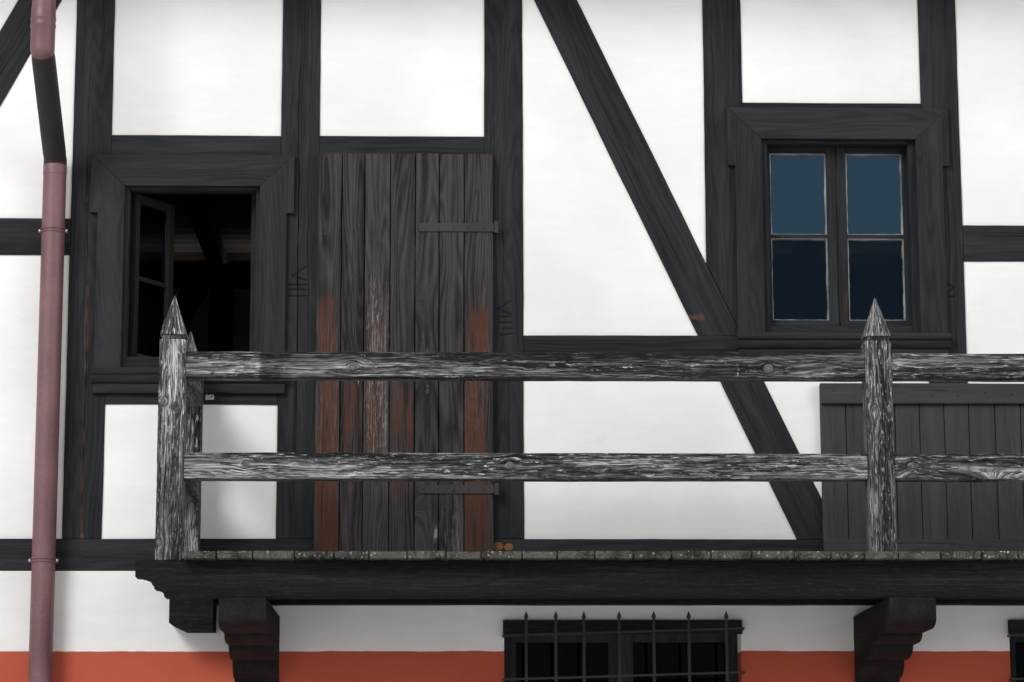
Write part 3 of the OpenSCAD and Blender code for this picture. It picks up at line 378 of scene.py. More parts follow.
CHARRED = wood(
    "charcoal_stained_timber", (0.0060, 0.0065, 0.0075), (0.029, 0.030, 0.034), (0.115, 0.056, 0.036),
    split=0.55, rough=(0.7, 0.95), bump=0.45, contrast=1.3, knots=((0.10, 0.045, 0.015), (0.30, 0.14, 0.05)))
# Balcony beams and corbels: dark tar, made darker still as painted shade from under the deck.
TAR_AND_PAINTED_SHADE = wood(
    "tarred_balcony_timber_painted_shade", (0.0020, 0.0018, 0.0018), (0.0075, 0.0066, 0.0062), (0.05, 0.03, 0.02),
    split=0.4, rough=(0.8, 0.95), bleach=(0.26, 0.25, 0.23), floor=0.0, contrast=1.2)
BOARDS = wood(
    "worn_door_boards", (0.0075, 0.0068, 0.0080), (0.056, 0.047, 0.049), (0.090, 0.036, 0.021),
    split=0.4, ring_tone=0.3, bleach=(0.26, 0.235, 0.215), floor=0.0, contrast=1.9)
SCREEN = wood(
    "smooth_screen_boards", (0.027, 0.025, 0.029), (0.060, 0.056, 0.063), (0.10, 0.05, 0.035),
    split=0.1, ring_tone=0.2, rough=(0.6, 0.8), bump=0.35)
SILVERED = wood(
    "silvered_railing_timber", (0.008, 0.0076, 0.0074), (0.150, 0.147, 0.145), (0.09, 0.055, 0.032),
    split=0.8, ring_tone=0.15, moss=0.25, lichen=0.2, bleach=(0.62, 0.62, 0.62), floor=0.1, bump=0.9,
    contrast=2.1, knots=((0.050, 0.043, 0.038), (0.17, 0.150, 0.125)))
DECKING = wood(
    "mossy_deck_planks", (0.008, 0.0085, 0.0065), (0.085, 0.088, 0.074), (0.09, 0.06, 0.04),
    split=0.6, moss=0.7, lichen=1.0, bump=0.9, contrast=1.9)
INNER = wood(
    "sawn_inner_timber", (0.018, 0.011, 0.007), (0.050, 0.034, 0.020), (0.09, 0.05, 0.03),
    split=0.3, ring_tone=0.35)
print("woods:", [m.name for m in (CHARRED, TAR_AND_PAINTED_SHADE, BOARDS, SCREEN, SILVERED, DECKING, INNER)])

# %% [markdown]
# Plaster, painted masonry, tile, iron, sheet metal, putty and glass follow. The
# ground storey is white under the balcony and orange-red below a line 2.49 m up.

# %% Plaster and masonry
def plaster(name, shades, paint=None):
    material, g, shader = principled(name)
    place = g.spot()
    wash = g.place(lime_wash, Place=place)
    colour = g.shade(wash["Tone"], *shades)
    if paint:
        edge_z, painted = paint
        z = g.part(place, 2)
        wobble = g.times(g.minus(g.noise(g.scale(place, (7, 7, 2)), 1, 3), 0.5), 0.012)
        below = g.spread(g.plus(z, wobble), edge_z + 0.002, edge_z - 0.002)
        colour = g.mix(below, colour, g.shade(wash["Tone"], tuple(0.86 * c for c in painted), painted))
        foot = g.spread(g.plus(z, g.times(wash["Tone"], 0.35)), 0.75, 0.1)
        colour = g.mix(g.times(foot, 0.55), colour, (0.16, 0.13, 0.11, 1))
    colour = g.mix(g.times(wash["Hairline"], 0.5), colour, (0.25, 0.24, 0.22, 1))
    g.set(shader["Base Color"], colour)
    shader["Roughness"].default_value = 0.93
    shader["Specular IOR Level"].default_value = 0.2
    g.set(shader["Normal"], g.bump(wash["Height"], 0.35, 0.006))
    return material


PAINT_LINE, ORANGE_RED = 2.487, (0.48, 0.100, 0.055)
LIME = plaster("white_lime_plaster", ((0.79, 0.785, 0.77), (0.90, 0.895, 0.88)))
MASONRY = plaster("painted_masonry", ((0.73, 0.72, 0.70), (0.84, 0.835, 0.82)), (PAINT_LINE, ORANGE_RED))
CONCRETE = plaster("floated_concrete", ((0.26, 0.25, 0.24), (0.42, 0.41, 0.39)))
print("plasters:", LIME.name, MASONRY.name, CONCRETE.name)

# %% Tile, metal, putty and glass
def tile_material():
    material, g, shader = principled("fired_clay_tile")
    place = g.spot()
    cloud = g.noise(place, 7, 4)
    tone = g.math("MULTIPLY_ADD", attribute(g, "tone"), 0.75, g.times(cloud, 0.25), clamp=True)
    colour = g.shade(tone, (0.115, 0.040, 0.024), (0.40, 0.155, 0.085))
    growth = g.place(damp_growth, Place=place, Moss_Amount=0.35, Lichen_Amount=0.5)
    colour = g.mix(g.times(growth["Moss"], 0.8), colour, (0.035, 0.04, 0.018, 1))
    colour = g.mix(g.times(growth["Lichen"], 0.7), colour, (0.50, 0.50, 0.42, 1))
    g.set(shader["Base Color"], colour)
    g.set(shader["Roughness"], g.spread(cloud, 0.3, 0.7, 0.7, 0.95))
    grit = g.noise(place, 160, 2)
    g.set(shader["Normal"], g.bump(grit, 0.3, 0.002))
    return material


def metal(name, dark, light, rough, metallic, dust=0.0, grain=60):
    material, g, shader = principled(name)
    place = g.spot()
    patch = g.noise(place, 3.0, 5, 0.6)
    fine = g.noise(place, grain, 3)
    mottled = g.math("MULTIPLY_ADD", fine, 0.3, g.times(patch, 0.7))
    colour = g.shade(g.spread(mottled, 0.35, 0.65), dark, light)
    if dust:
        runs = g.noise(g.scale(place, (22, 22, 1.6)), 1, 4)
        colour = g.mix(g.spread(runs, 0.55, 0.75, 0, dust), colour, (0.20, 0.165, 0.15, 1))
    g.set(shader["Base Color"], colour)
    g.set(shader["Roughness"], g.spread(patch, 0.3, 0.7, *rough))
    shader["Metallic"].default_value = metallic
    g.set(shader["Normal"], g.bump(fine, 0.15, 0.001))
    return material


def glass(name, tint, painted_reflection_tint):
    material, g, shader = principled(name)
    place = g.spot()
    waves = g.noise(g.scale(place, (4, 4, 2.2)), 1, 2)
    # The body tint and the specular tint carry painted reflection: bluish on the upper panes for the sky,
    # darker on the others as painted shade.
    shader["Base Color"].default_value = (*tint, 1)
    shader["Transmission Weight"].default_value = 1.0
    shader["IOR"].default_value = 1.65
    shader["Specular Tint"].default_value = (*painted_reflection_tint, 1)
    grime = g.noise(place, 14, 5, 0.7)
    g.set(shader["Roughness"], g.spread(grime, 0.4, 0.75, 0.010, 0.022))
    g.set(shader["Normal"], g.bump(waves, 0.08, 0.006))
    return material


TILE = tile_material()
IRON = metal("forged_iron", (0.022, 0.020, 0.020), (0.060, 0.055, 0.053), (0.5, 0.75), 0.6, grain=140)
PIPE = metal("dusty_pink_sheet", (0.112, 0.050, 0.056), (0.188, 0.088, 0.098), (0.42, 0.58), 0.0, dust=0.25)
# The downpipe's slanted part: dark brown sheet, darkened further as painted shade from the eaves.
PIPE_BROWN_PAINTED_SHADE = metal("brown_sheet_painted_shade", (0.008, 0.0065, 0.0055), (0.020, 0.0155, 0.013), (0.6, 0.78), 0.0,
                   dust=0.06)
ZINC = metal("zinc_plate", (0.32, 0.33, 0.34), (0.55, 0.56, 0.57), (0.35, 0.5), 1.0)
PUTTY = metal("flaky_putty", (0.035, 0.034, 0.032), (0.50, 0.49, 0.46), (0.8, 0.95), 0.0, grain=110)
# Upper panes: bluish tint and blue specular tint, a painted reflection of the sky.
PANE = glass("old_window_glass", (0.30, 0.36, 0.42), (0.30, 0.66, 1.0))
# Lower panes: darker tint and a dim specular tint, painted shade in place of the sky reflection.
DIM_PANE = glass("lower_glass_dim_painted_reflection", (0.16, 0.20, 0.22), (0.08, 0.15, 0.24))
# Ground-floor panes: near-black tint and reflection, painted shade from under the balcony.
DARK_PANE = glass("ground_glass_painted_shade", (0.05, 0.055, 0.06), (0.04, 0.045, 0.055))
print("metals and glass ready")

# %% [markdown]
# Hewn timber is never a perfect box. The helpers here make one by rings of points
# along its axis: the face towards the viewer has many columns, so drying splits,
# carved strokes and knots can be real grooves and bumps in the mesh.

# %% Smooth noise
def ripple(seed, *coords):
    """Smooth noise from -1 to 1 at arrays of coordinates."""
    table = np.random.default_rng(seed).uniform(-1, 1, 4096)
    coords = np.broadcast_arrays(*[np.asarray(c, float) for c in coords])
    cells = [np.floor(c).astype(int) for c in coords]
    parts = [(c - k) ** 2 * (3 - 2 * (c - k)) for c, k in zip(coords, cells)]
    total = 0.0
    for corner in itertools.product((0, 1), repeat=len(coords)):
        weight, key = 1.0, 0
        for side, cell, part, prime in zip(corner, cells, parts, (1, 57, 1013)):
            weight = weight * (part if side else 1 - part)
            key = key + (cell + side) * prime
        total = total + weight * table[key % 4096]
    return total


print("noise sample", np.round(ripple(1, [0.2, 0.9, 1.7]), 3))


# %% Piles of parts that become one mesh
FIELDS = ("tone", "check", "knot", "worn", "bleached")


def settle_normals(mesh):
    """Makes the normals of neighbouring faces agree."""
    bm = bmesh.new()
    bm.from_mesh(mesh)
    bmesh.ops.recalc_face_normals(bm, faces=bm.faces)
    bm.to_mesh(mesh)
    bm.free()


class Pile:
    """Collects parts as arrays, and makes one object of them."""

    def __init__(self):
        self.points, self.faces, self.grain, self.skins = [], [], [], []
        self.values = {name: [] for name in FIELDS}
        self.count = 0
        self.place = Matrix.Identity(4)

    def add(self, points, faces, grain=None, skin=0, **values):
        points = np.asarray(points, float)
        world = points @ np.array(self.place.to_3x3()).T + np.array(self.place.translation)
        self.points.append(world)
        self.faces += [tuple(int(i) + self.count for i in face) for face in faces]
        self.skins += [skin] * len(faces)
        self.grain.append(points if grain is None else grain)
        for name in FIELDS:
            value = values.get(name, 0.5 if name == "tone" else 0.0)
            self.values[name].append(np.broadcast_to(value, len(points)).astype(float))
        self.count += len(points)

    def build(self, name, materials, slot, replaces=(), smooth=35):
        mesh = bpy.data.meshes.new(name)
        mesh.from_pydata(np.concatenate(self.points).tolist(), [], self.faces)
        grain = mesh.attributes.new("grain", "FLOAT_VECTOR", "POINT")
        grain.data.foreach_set("vector", np.concatenate(self.grain).ravel())
        for field in FIELDS:
            column = mesh.attributes.new(field, "FLOAT", "POINT")
            column.data.foreach_set("value", np.concatenate(self.values[field]))
        for material in materials:
            mesh.materials.append(material)
        mesh.polygons.foreach_set("material_index", self.skins)
        settle_normals(mesh)
        return finish_piece(name, mesh, replaces, smooth)


def finish_piece(name, mesh, replaces=(), smooth=35):
    """Links a mesh as a piece that rides on the house and stands for CAD nodes."""
    mesh.polygons.foreach_set("use_smooth", [True] * len(mesh.polygons))
    mesh.set_sharp_from_angle(angle=math.radians(smooth))
    mesh.update()
    piece = bpy.data.objects.new(name, mesh)
    bpy.context.scene.collection.objects.link(piece)
    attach(piece, "root")
    if replaces:
        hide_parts(*replaces)
    mesh.calc_loop_triangles()
    print(f"{name}: {len(mesh.loop_triangles)} triangles")
    return piece


def solids(node):
    """Vertex arrays of the separate solids in a CAD node."""
    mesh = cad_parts[node].data
    points = np.array([v.co for v in mesh.vertices])
    _, first, merged = np.unique(np.round(points, 5), axis=0, return_index=True, return_inverse=True)
    merged = merged.ravel()
    parent = list(range(len(first)))

    def root(i):
        while parent[i] != i:
            parent[i] = parent[parent[i]]
            i = parent[i]
        return i

    for edge in mesh.edges:
        a, b = root(merged[edge.vertices[0]]), root(merged[edge.vertices[1]])
        parent[a] = b
    groups = {}
    for i in range(len(first)):
        groups.setdefault(root(i), []).append(points[first[i]])
    return sorted((np.array(g) for g in groups.values()), key=lambda g: tuple(np.round(g.min(0), 3)))


print("front posts:", len(solids("front_posts")), "front rails:", len(solids("front_rails")))

# %% One hewn bar
AXES = {"x": ((1, 0, 0), (0, 0, 1), (0, 1, 0)), "z": ((0, 0, 1), (1, 0, 0), (0, 1, 0)),
        "y": ((0, 1, 0), (1, 0, 0), (0, 0, -1)), "X": ((1, 0, 0), (0, 1, 0), (0, 0, -1))}


def section(a, b, fine, coarse, r):
    """Points round a rounded rectangle of half sizes a and b; the fine face is at -b."""
    def run(start, stop, step):
        return np.linspace(start, stop, max(2, int(round(abs(stop - start) / step)) + 1))

    pts = [(v, -b, 0, -1) for v in run(-a + r, a - r, fine)]
    front = len(pts)
    s = math.sqrt(0.5)
    pts += [(a - r * (1 - s), -b + r * (1 - s), s, -s)]
    pts += [(a, w, 1, 0) for w in run(-b + r, b - r, coarse)]
    pts += [(a - r * (1 - s), b - r * (1 - s), s, s)]
    pts += [(v, b, 0, 1) for v in run(a - r, -a + r, coarse)]
    pts += [(-a + r * (1 - s), b - r * (1 - s), -s, s)]
    pts += [(-a, w, -1, 0) for w in run(b - r, -b + r, coarse)]
    pts += [(-a + r * (1 - s), -b + r * (1 - s), -s, -s)]
    return np.array(pts, float), front


def bar(pile, lo, hi, axis, seed, fine=0.02, coarse=0.06, step=0.08, edge=0.005, hew=0.0015, erode=0.0,
        checks=(), knots=(), carve=(), arches=(), slant=0.0, foot=None, chamfer=0.003, skin=0,
        tone=None, worn=0.0, bleached=0.0):
    """Adds a timber between two corners. Checks are (start, end, across, width, depth), knots are
    (along, across, radius), carved strokes are pairs of (along, across) and arches are the tips of
    pointed growth rings (along, across), all from the low corner. Slant shears a post sideways over
    its height, and foot raises its low end by a function of x."""
    lo, hi = np.array(lo, float), np.array(hi, float)
    along, side, deep = (np.array(v, float) for v in AXES[axis])
    size = [abs(float((hi - lo) @ v)) for v in (along, side, deep)]
    length, a, b = size[0], size[1] / 2, size[2] / 2
    rng = np.random.default_rng(seed)
    edge = min(edge, a * 0.45, b * 0.45)
    ring, front = section(a, b, fine, coarse, edge)
    u = [0.0, chamfer] + list(np.linspace(chamfer, length - chamfer, max(2, int(length / step) + 1))[1:-1])
    u += [length - chamfer, length]
    for at, _, r in knots:
        u += [at + k * r / 3 for k in range(-6, 7)]
    for start, end, *_ in checks:
        u += [start, end]
    if carve:
        reach = [point[0] for stroke in carve for point in stroke]
        u += list(np.arange(min(reach) - 0.008, max(reach) + 0.008, 0.0022))
    u = np.unique(np.round(np.clip(u, 0, length), 4))
    U, V = np.meshgrid(u, ring[:, 0], indexing="ij")
    W = np.broadcast_to(ring[:, 1], U.shape).copy()
    nv, nw = ring[:, 2], ring[:, 3]
    grain = np.stack([U, V, W], -1)
    for at, across in arches:
        near = np.exp(-((U - at) / 0.35) ** 2)
        grain[..., 1] = (1 - near) * grain[..., 1] + near * np.hypot(V + a - across, 0.09 * (U - at))
    check, knot = np.zeros_like(U), np.zeros_like(U)
    out = hew * ripple(seed, U / 0.42, V / 0.16 + 3, W / 0.16 + 7)
    out += 0.4 * hew * ripple(seed + 1, U / 0.09, V / 0.05, W / 0.05)
    corner = (np.abs(nv * nw) > 0.1).astype(float)
    out -= corner * edge * 0.5 * np.clip(ripple(seed + 2, U / 0.07, nv + 2 * nw + 5), 0, 1) ** 2
    if erode:
        out -= erode * (0.5 + 0.5 * ripple(seed + 3, U / 0.3, V / 0.008, W / 0.008))
    for at, across, r in knots:
        du, dv = U - at, np.where(nw < -0.5, V - (across - a), 9)
        d = np.hypot(du * 0.85, dv) + 1e-6
        swell = 0.22 * r * np.exp(-(d / (0.8 * r)) ** 2) - 0.10 * r * np.exp(-((d - r) / (0.25 * r)) ** 2)
        out += np.where(d < 2 * r, swell, 0)
        knot = np.maximum(knot, np.clip(1.2 - 0.7 * d / r, 0, 1))
        flow = np.where(d > r, dv * (1 - (r / d) ** 2), 0)
        grain[..., 1] += np.where(d < 6 * r, flow - dv, 0) * np.clip(2 - d / (3 * r), 0, 1)
    for number, (start, end, across, width, depth) in enumerate(checks):
        middle, half = (start + end) / 2, max((end - start) / 2, 1e-3)
        drift = 0.0045 * ripple(seed + 9 + number, U[:, 0] / 0.16)
        drift += 0.0015 * ripple(seed + 40 + number, U[:, 0] / 0.035)
        target = across - a + drift
        j = int(np.clip(np.argmin(np.abs(ring[:front, 0] - target.mean())), 2, front - 3))
        shift = target - V[:, j]
        before = (V[:, :front] + a) / max(ring[j, 0] + a, 1e-3)
        after = (a - V[:, :front]) / max(a - ring[j, 0], 1e-3)
        V[:, :front] += shift[:, None] * np.clip(np.minimum(before, after), 0, 1)
        t = np.clip(1 - ((U[:, 0] - middle) / half) ** 2, 0, 1) ** 0.5
        t = t * (0.75 + 0.25 * ripple(seed + 70 + number, U[:, 0] / 0.05))
        for k, sign in ((j - 1, -1), (j + 1, 1)):
            V[:, k] = np.where(t > 0.05, V[:, j] + sign * np.maximum(width * t, 0.0006), V[:, k])
        out[:, j] -= depth * t
        check[:, j] = np.maximum(check[:, j], t)
    for (u0, v0), (u1, v1) in carve:
        along_stroke = ((U - u0) * (u1 - u0) + (V + a - v0) * (v1 - v0)) / ((u1 - u0) ** 2 + (v1 - v0) ** 2)
        t = np.clip(along_stroke, 0, 1)
        away = np.hypot(U - u0 - t * (u1 - u0), V + a - v0 - t * (v1 - v0))
        cut = np.where(nw < -0.5, np.clip(1.3 - away / 0.0055, 0, 1), 0)
        out -= 0.0035 * cut
        check = np.maximum(check, cut)
    shrink = np.where((U < chamfer / 2) | (U > length - chamfer / 2), chamfer, 0.0)
    V = V + out * nv - shrink * np.sign(V) * np.minimum(1, np.abs(V) / a)
    W = W + out * nw - shrink * np.sign(W) * np.minimum(1, np.abs(W) / b)
    centre = (lo + hi) / 2 - along * length / 2
    points = centre + U[..., None] * along + V[..., None] * side + W[..., None] * deep
    if slant:
        points = points + np.array([1.0, 0, 0]) * (slant * (U / length - 0.5))[..., None]
    if foot:
        points = points + along * (foot(points[..., 0]) * (1 - U / length))[..., None]
    m, n = U.shape
    index = np.arange(m * n).reshape(m, n)
    beside = np.roll(index, -1, 1)
    quads = np.stack([index[:-1], index[1:], beside[1:], beside[:-1]], -1).reshape(-1, 4)
    faces = [tuple(q) for q in quads] + [tuple(index[0]), tuple(index[-1][::-1])]
    offset = rng.uniform(-40, 40, 3)
    if tone is None:
        tone = rng.uniform(0.3, 0.7)
    as_field = lambda f: (f(U, V + a) if callable(f) else np.full(U.shape, float(f))).ravel()
    pile.add(points.reshape(-1, 3), faces, (grain + offset).reshape(-1, 3), skin, tone=as_field(tone),
             check=check.ravel(), knot=knot.ravel(), worn=as_field(worn), bleached=as_field(bleached))


def drying_checks(seed, length, width, amount=1.0, long=1.4, deep=0.006):
    """A few random splits for a face of this size."""
    rng = np.random.default_rng(seed)
    made = []
    for _ in range(rng.poisson(amount * length)):
        run = rng.uniform(0.25, long) * min(1, length / 1.2)
        start = rng.uniform(0, max(length - run, 0.02))
        made.append((start, min(start + run, length), rng.uniform(0.2, 0.8) * width,
                     rng.uniform(0.0010, 0.0028), rng.uniform(0.4, 1) * deep))
    return made


print("bar helper ready")

# %% [markdown]
# The front frame comes first, because the camera is close to it. The braces are
# sheared bars that stop at the rail lapped over them. Three posts carry a carpenter's
# numeral, a V with one, three or four strokes, cut across the grain. The sill is a
# ring of five timbers round the house, open at the balcony door.

# %% Front posts
# Carved strokes and long splits of single posts, by the post's middle in millimetres.
RUBBED_POST = -3660
CARVED = {
    -2637: [((1.290, 0.066), (1.335, 0.129)), ((1.290, 0.066), (1.270, 0.130)),
            ((1.245, 0.044), (1.245, 0.137)), ((1.222, 0.046), (1.222, 0.135)),
            ((1.190, 0.044), (1.190, 0.137))],
    -1633: [((1.127, 0.0636), (1.167, 0.128)), ((1.127, 0.0636), (1.1035, 0.128)),
            ((1.090, 0.075), (1.090, 0.130)), ((1.060, 0.070), (1.060, 0.133)),
            ((1.031, 0.088), (1.031, 0.133)), ((0.998, 0.077), (1.006, 0.136))],
    541: [((1.265, 0.102), (1.240, 0.136)), ((1.240, 0.136), (1.219, 0.101)),
          ((1.196, 0.101), (1.197, 0.135))],
}
LONG_CHECKS = {
    RUBBED_POST: [(0.02, 1.25, 0.095, 0.0024, 0.010)],
    -2637: [(0.10, 2.60, 0.092, 0.0038, 0.014)],
    -1633: [(1.70, 2.10, 0.030, 0.0022, 0.008), (0.05, 0.9, 0.12, 0.0020, 0.006)],
    541: [(0.9, 2.2, 0.11, 0.0022, 0.008)],
}
front_frame = Pile()
sill_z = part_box("wall_sills")[1].z
middle = [s for s in solids("front_braces") if abs(s[:, 0].mean()) < 2][0]


def edge_line(solid):
    """Left edge of a brace as a function of height, and its width along the sill."""
    top = solid[solid[:, 2] > solid[:, 2].max() - 1e-3]
    low = solid[solid[:, 2] < solid[:, 2].min() + 1e-3]
    z = (low[0, 2], top[0, 2])
    x = (low[:, 0].min(), top[:, 0].min())
    return (lambda h: np.interp(h, z, x)), np.ptp(low[:, 0]), z


left_edge, brace_width, brace_z = edge_line(middle)
slope_of_brace = (left_edge(brace_z[1]) - left_edge(brace_z[0])) / (brace_z[1] - brace_z[0])
for number, post in enumerate(solids("front_posts")):
    lo, hi = post.min(0), post.max(0)
    key = int(round((lo[0] + hi[0]) * 500))
    close = -4 < lo[0] < 1
    checks = LONG_CHECKS.get(key, [])
    checks = checks + drying_checks(100 + number, hi[2] - lo[2], hi[0] - lo[0], 1.0 if close else 0.6)
    foot = None
    if hi[2] - lo[2] < 2.5:
        foot = lambda x, z=lo[2]: np.clip(
            (left_edge(sill_z) + brace_width - x) / -slope_of_brace + sill_z - z, 0, 3)
    rubbed = 0.0
    if key == RUBBED_POST:
        rubbed = lambda u, v: np.where(
            (abs(v - 0.095) < 0.008) & (u < 1.25), 0.7 + 0.5 * ripple(5, u / 0.05, v / 0.01), 0)
    bar(front_frame, lo, hi, "z", 100 + number, fine=0.006 if close else 0.02, step=0.03 if close else 0.10,
        hew=0.0022, checks=checks, carve=CARVED.get(key, ()), foot=foot, tone=0.45 if close else None,
        worn=rubbed)
front_frame.build("hewn_front_posts", [CHARRED], "dark_timber", ["front_posts"])

# %% Front rails and braces
rails = Pile()
rail_boxes = [(s.min(0), s.max(0)) for s in solids("front_rails")]
for number, (lo, hi) in enumerate(rail_boxes):
    close = -4.6 < lo[0] < 1
    bar(rails, lo, hi, "x", 200 + number, fine=0.008 if close else 0.02, step=0.03 if close else 0.10,
        hew=0.002, checks=drying_checks(200 + number, hi[0] - lo[0], hi[2] - lo[2], 1.6 if close else 0.6))
rails.build("hewn_front_rails", [CHARRED], "dark_timber", ["front_rails"])

# The bare spot on the middle brace: its height, half its height, and its reach along the wall.
BARE_Z, BARE_HALF, BARE_FROM, BARE_TO = 4.111, 0.014, -0.725, -0.650
braces = Pile()
for number, solid in enumerate(solids("front_braces")):
    edge_x, width, (z0, z1) = edge_line(solid)
    cuts = [z0]
    for lo, hi in rail_boxes:
        h = (lo[2] + hi[2]) / 2
        if lo[0] < edge_x(h) - 0.05 and hi[0] > edge_x(h) + width + 0.05:
            cuts += [lo[2], hi[2]]
    cuts.append(z1)
    for part in range(0, len(cuts), 2):
        low, high = cuts[part], cuts[part + 1]
        x = edge_x((low + high) / 2)
        bare = 0.0
        if abs(solid[:, 0].mean()) < 2:
            spot = edge_x(BARE_Z)
            bare = lambda u, v, z=low: 1.2 * (
                (np.abs(u + z - BARE_Z) < BARE_HALF) & (v + spot > BARE_FROM) & (v + spot < BARE_TO))
        bar(braces, (x, solid[:, 1].min(), low), (x + width, solid[:, 1].max(), high), "z",
            300 + 10 * number + part, fine=0.008, step=0.03, hew=0.0022, slant=edge_x(high) - edge_x(low),
            chamfer=0.001, checks=drying_checks(300 + 10 * number + part, high - low, width, 1.5), tone=0.5,
            worn=bare)
braces.build("hewn_front_braces", [CHARRED], "dark_timber", ["front_braces"])

# %% Sill ring
SILL_KNOTS = ((-1.663, 0.117, 0.022), (-1.612, 0.113, 0.020))
sills = Pile()
sill_ring = solids("wall_sills")[0]
xs, ys, zs = (np.unique(np.round(sill_ring[:, k], 3)) for k in range(3))
left, in_left, door_left, door_right, in_right, right = xs
front_y, in_front, in_back, back_y = ys
members = [((left, front_y), (door_left, in_front), "x"), ((door_right, front_y), (right, in_front), "x"),
           ((left, in_back), (right, back_y), "x"), ((left, in_front), (in_left, in_back), "y"),
           ((in_right, in_front), (right, in_back), "y")]
for number, (near, far, axis) in enumerate(members):
    lo, hi = (*near, zs[0]), (*far, zs[-1])
    close = axis == "x" and lo[1] == front_y
    knots = [(x - lo[0], across, r) for x, across, r in SILL_KNOTS] if number == 1 else ()
    bar(sills, lo, hi, axis, 400 + number, fine=0.012 if close else 0.03, step=0.05 if close else 0.12,
        hew=0.002, knots=knots, checks=drying_checks(400 + number, max(np.subtract(hi, lo)), 0.15, 0.6))
print("sill ring:", len(members), "members, heights", zs)
sills.build("hewn_wall_sills", [CHARRED], "dark_timber", ["wall_sills"])

# %% [markdown]
# Each plaster panel is its own cushion: it fills its field to the timbers, is a
# little fuller in the middle, and rounds back at its edges, where the trowel
# stopped. The mesh runs a few millimetres behind the timbers, so no slit shows.

# %% Plaster panels
# How far a panel runs in behind its timbers, and how far its face lies back.
TUCK, PULL = 0.008, 0.001


def panel_outline(solid, axis):
    """Corner points of a panel in its wall plane, in order."""
    flat = np.unique(np.round(np.delete(solid, axis, 1), 4), axis=0)
    centre = flat.mean(0)
    order = np.argsort(np.arctan2(*(flat - centre).T[::-1]))
    return flat[order]


def plaster_panels(name, nodes, mesh_step, seed):
    points, faces = [], []
    count = 0
    for node in nodes:
        for solid in solids(node):
            size = np.ptp(solid, axis=0)
            axis = int(np.argmin(size))
            outer = np.sign(solid[:, axis].mean())
            face, back = sorted((solid[:, axis].min(), solid[:, axis].max()), key=lambda c: -outer * c)
            outline = panel_outline(solid, axis)
            bm = bmesh.new()
            low, high = outline.min(0) - 0.02, outline.max(0) + 0.02
            cells = np.maximum(1, np.ceil((high - low) / mesh_step)).astype(int)
            across, upwards = (low[k] + (high[k] - low[k]) * np.arange(cells[k] + 1) / cells[k]
                               for k in (0, 1))
            grid = [[bm.verts.new((u, v, 0)) for v in upwards] for u in across]
            for i in range(cells[0]):
                for j in range(cells[1]):
                    bm.faces.new((grid[i][j], grid[i + 1][j], grid[i + 1][j + 1], grid[i][j + 1]))
            ends = np.roll(outline, -1, 0)
            normals = np.stack([(ends - outline)[:, 1], -(ends - outline)[:, 0]], 1)
            normals /= np.linalg.norm(normals, axis=1)[:, None]
            for offset in (TUCK, -0.010, -0.030):
                for corner, normal in zip(outline, normals):
                    cut = bmesh.ops.bisect_plane(
                        bm, geom=bm.verts[:] + bm.edges[:] + bm.faces[:], dist=1e-5,
                        plane_co=(*(corner + normal * offset), 0), plane_no=(*normal, 0),
                        clear_outer=offset > 0)
            bmesh.ops.dissolve_degenerate(bm, dist=1e-5, edges=bm.edges)
            rim = [e for e in bm.edges if e.is_boundary]
            new = bmesh.ops.extrude_edge_only(bm, edges=rim)["geom"]
            bm.verts.index_update()
            behind = {v for v in new if isinstance(v, bmesh.types.BMVert)}
            back_rim = [e for e in new if isinstance(e, bmesh.types.BMEdge) and e.is_boundary]
            bmesh.ops.contextual_create(bm, geom=back_rim)
            verts = list(bm.verts)
            flat = np.array([v.co[:2] for v in verts])
            hidden = np.array([v in behind for v in verts])
            distance = np.min([(corner - flat) @ normal for corner, normal in zip(outline, normals)], axis=0)
            rounding = 0.005 * np.exp(-np.clip(distance, 0, None) / 0.011)
            full = 0.0025 * (1 - np.exp(-np.clip(distance, 0, None) / 0.25))
            sway = 0.0016 * ripple(seed, flat[:, 0] / 0.33, flat[:, 1] / 0.33)
            sway += 0.0006 * ripple(seed + 1, flat[:, 0] / 0.07, flat[:, 1] / 0.09)
            depth = face + outer * (full + sway - rounding - PULL)
            depth = np.where(hidden, back, depth)
            out = np.insert(flat, axis, depth, axis=1)
            for k, v in enumerate(verts):
                v.index = k
            points.append(out)
            faces += [tuple(v.index + count for v in f.verts) for f in bm.faces]
            count += len(verts)
            bm.free()
    mesh = bpy.data.meshes.new(name)
    mesh.from_pydata(np.concatenate(points).tolist(), [], faces)
    mesh.materials.append(LIME)
    settle_normals(mesh)
    return finish_piece(name, mesh, nodes, 50)


plaster_panels("floated_front_panels", ["front_panels"], 0.045, 11)
plaster_panels("floated_rear_panels", ["rear_panels"], 0.12, 12)

# %% [markdown]
# The carved beams and corbels, and all timbers far from the camera, keep their CAD
# shape, laps and all. They are copied, cut across at even steps, bevelled along their
# edges and swayed a little, and each solid gets grain along its own longest direction.

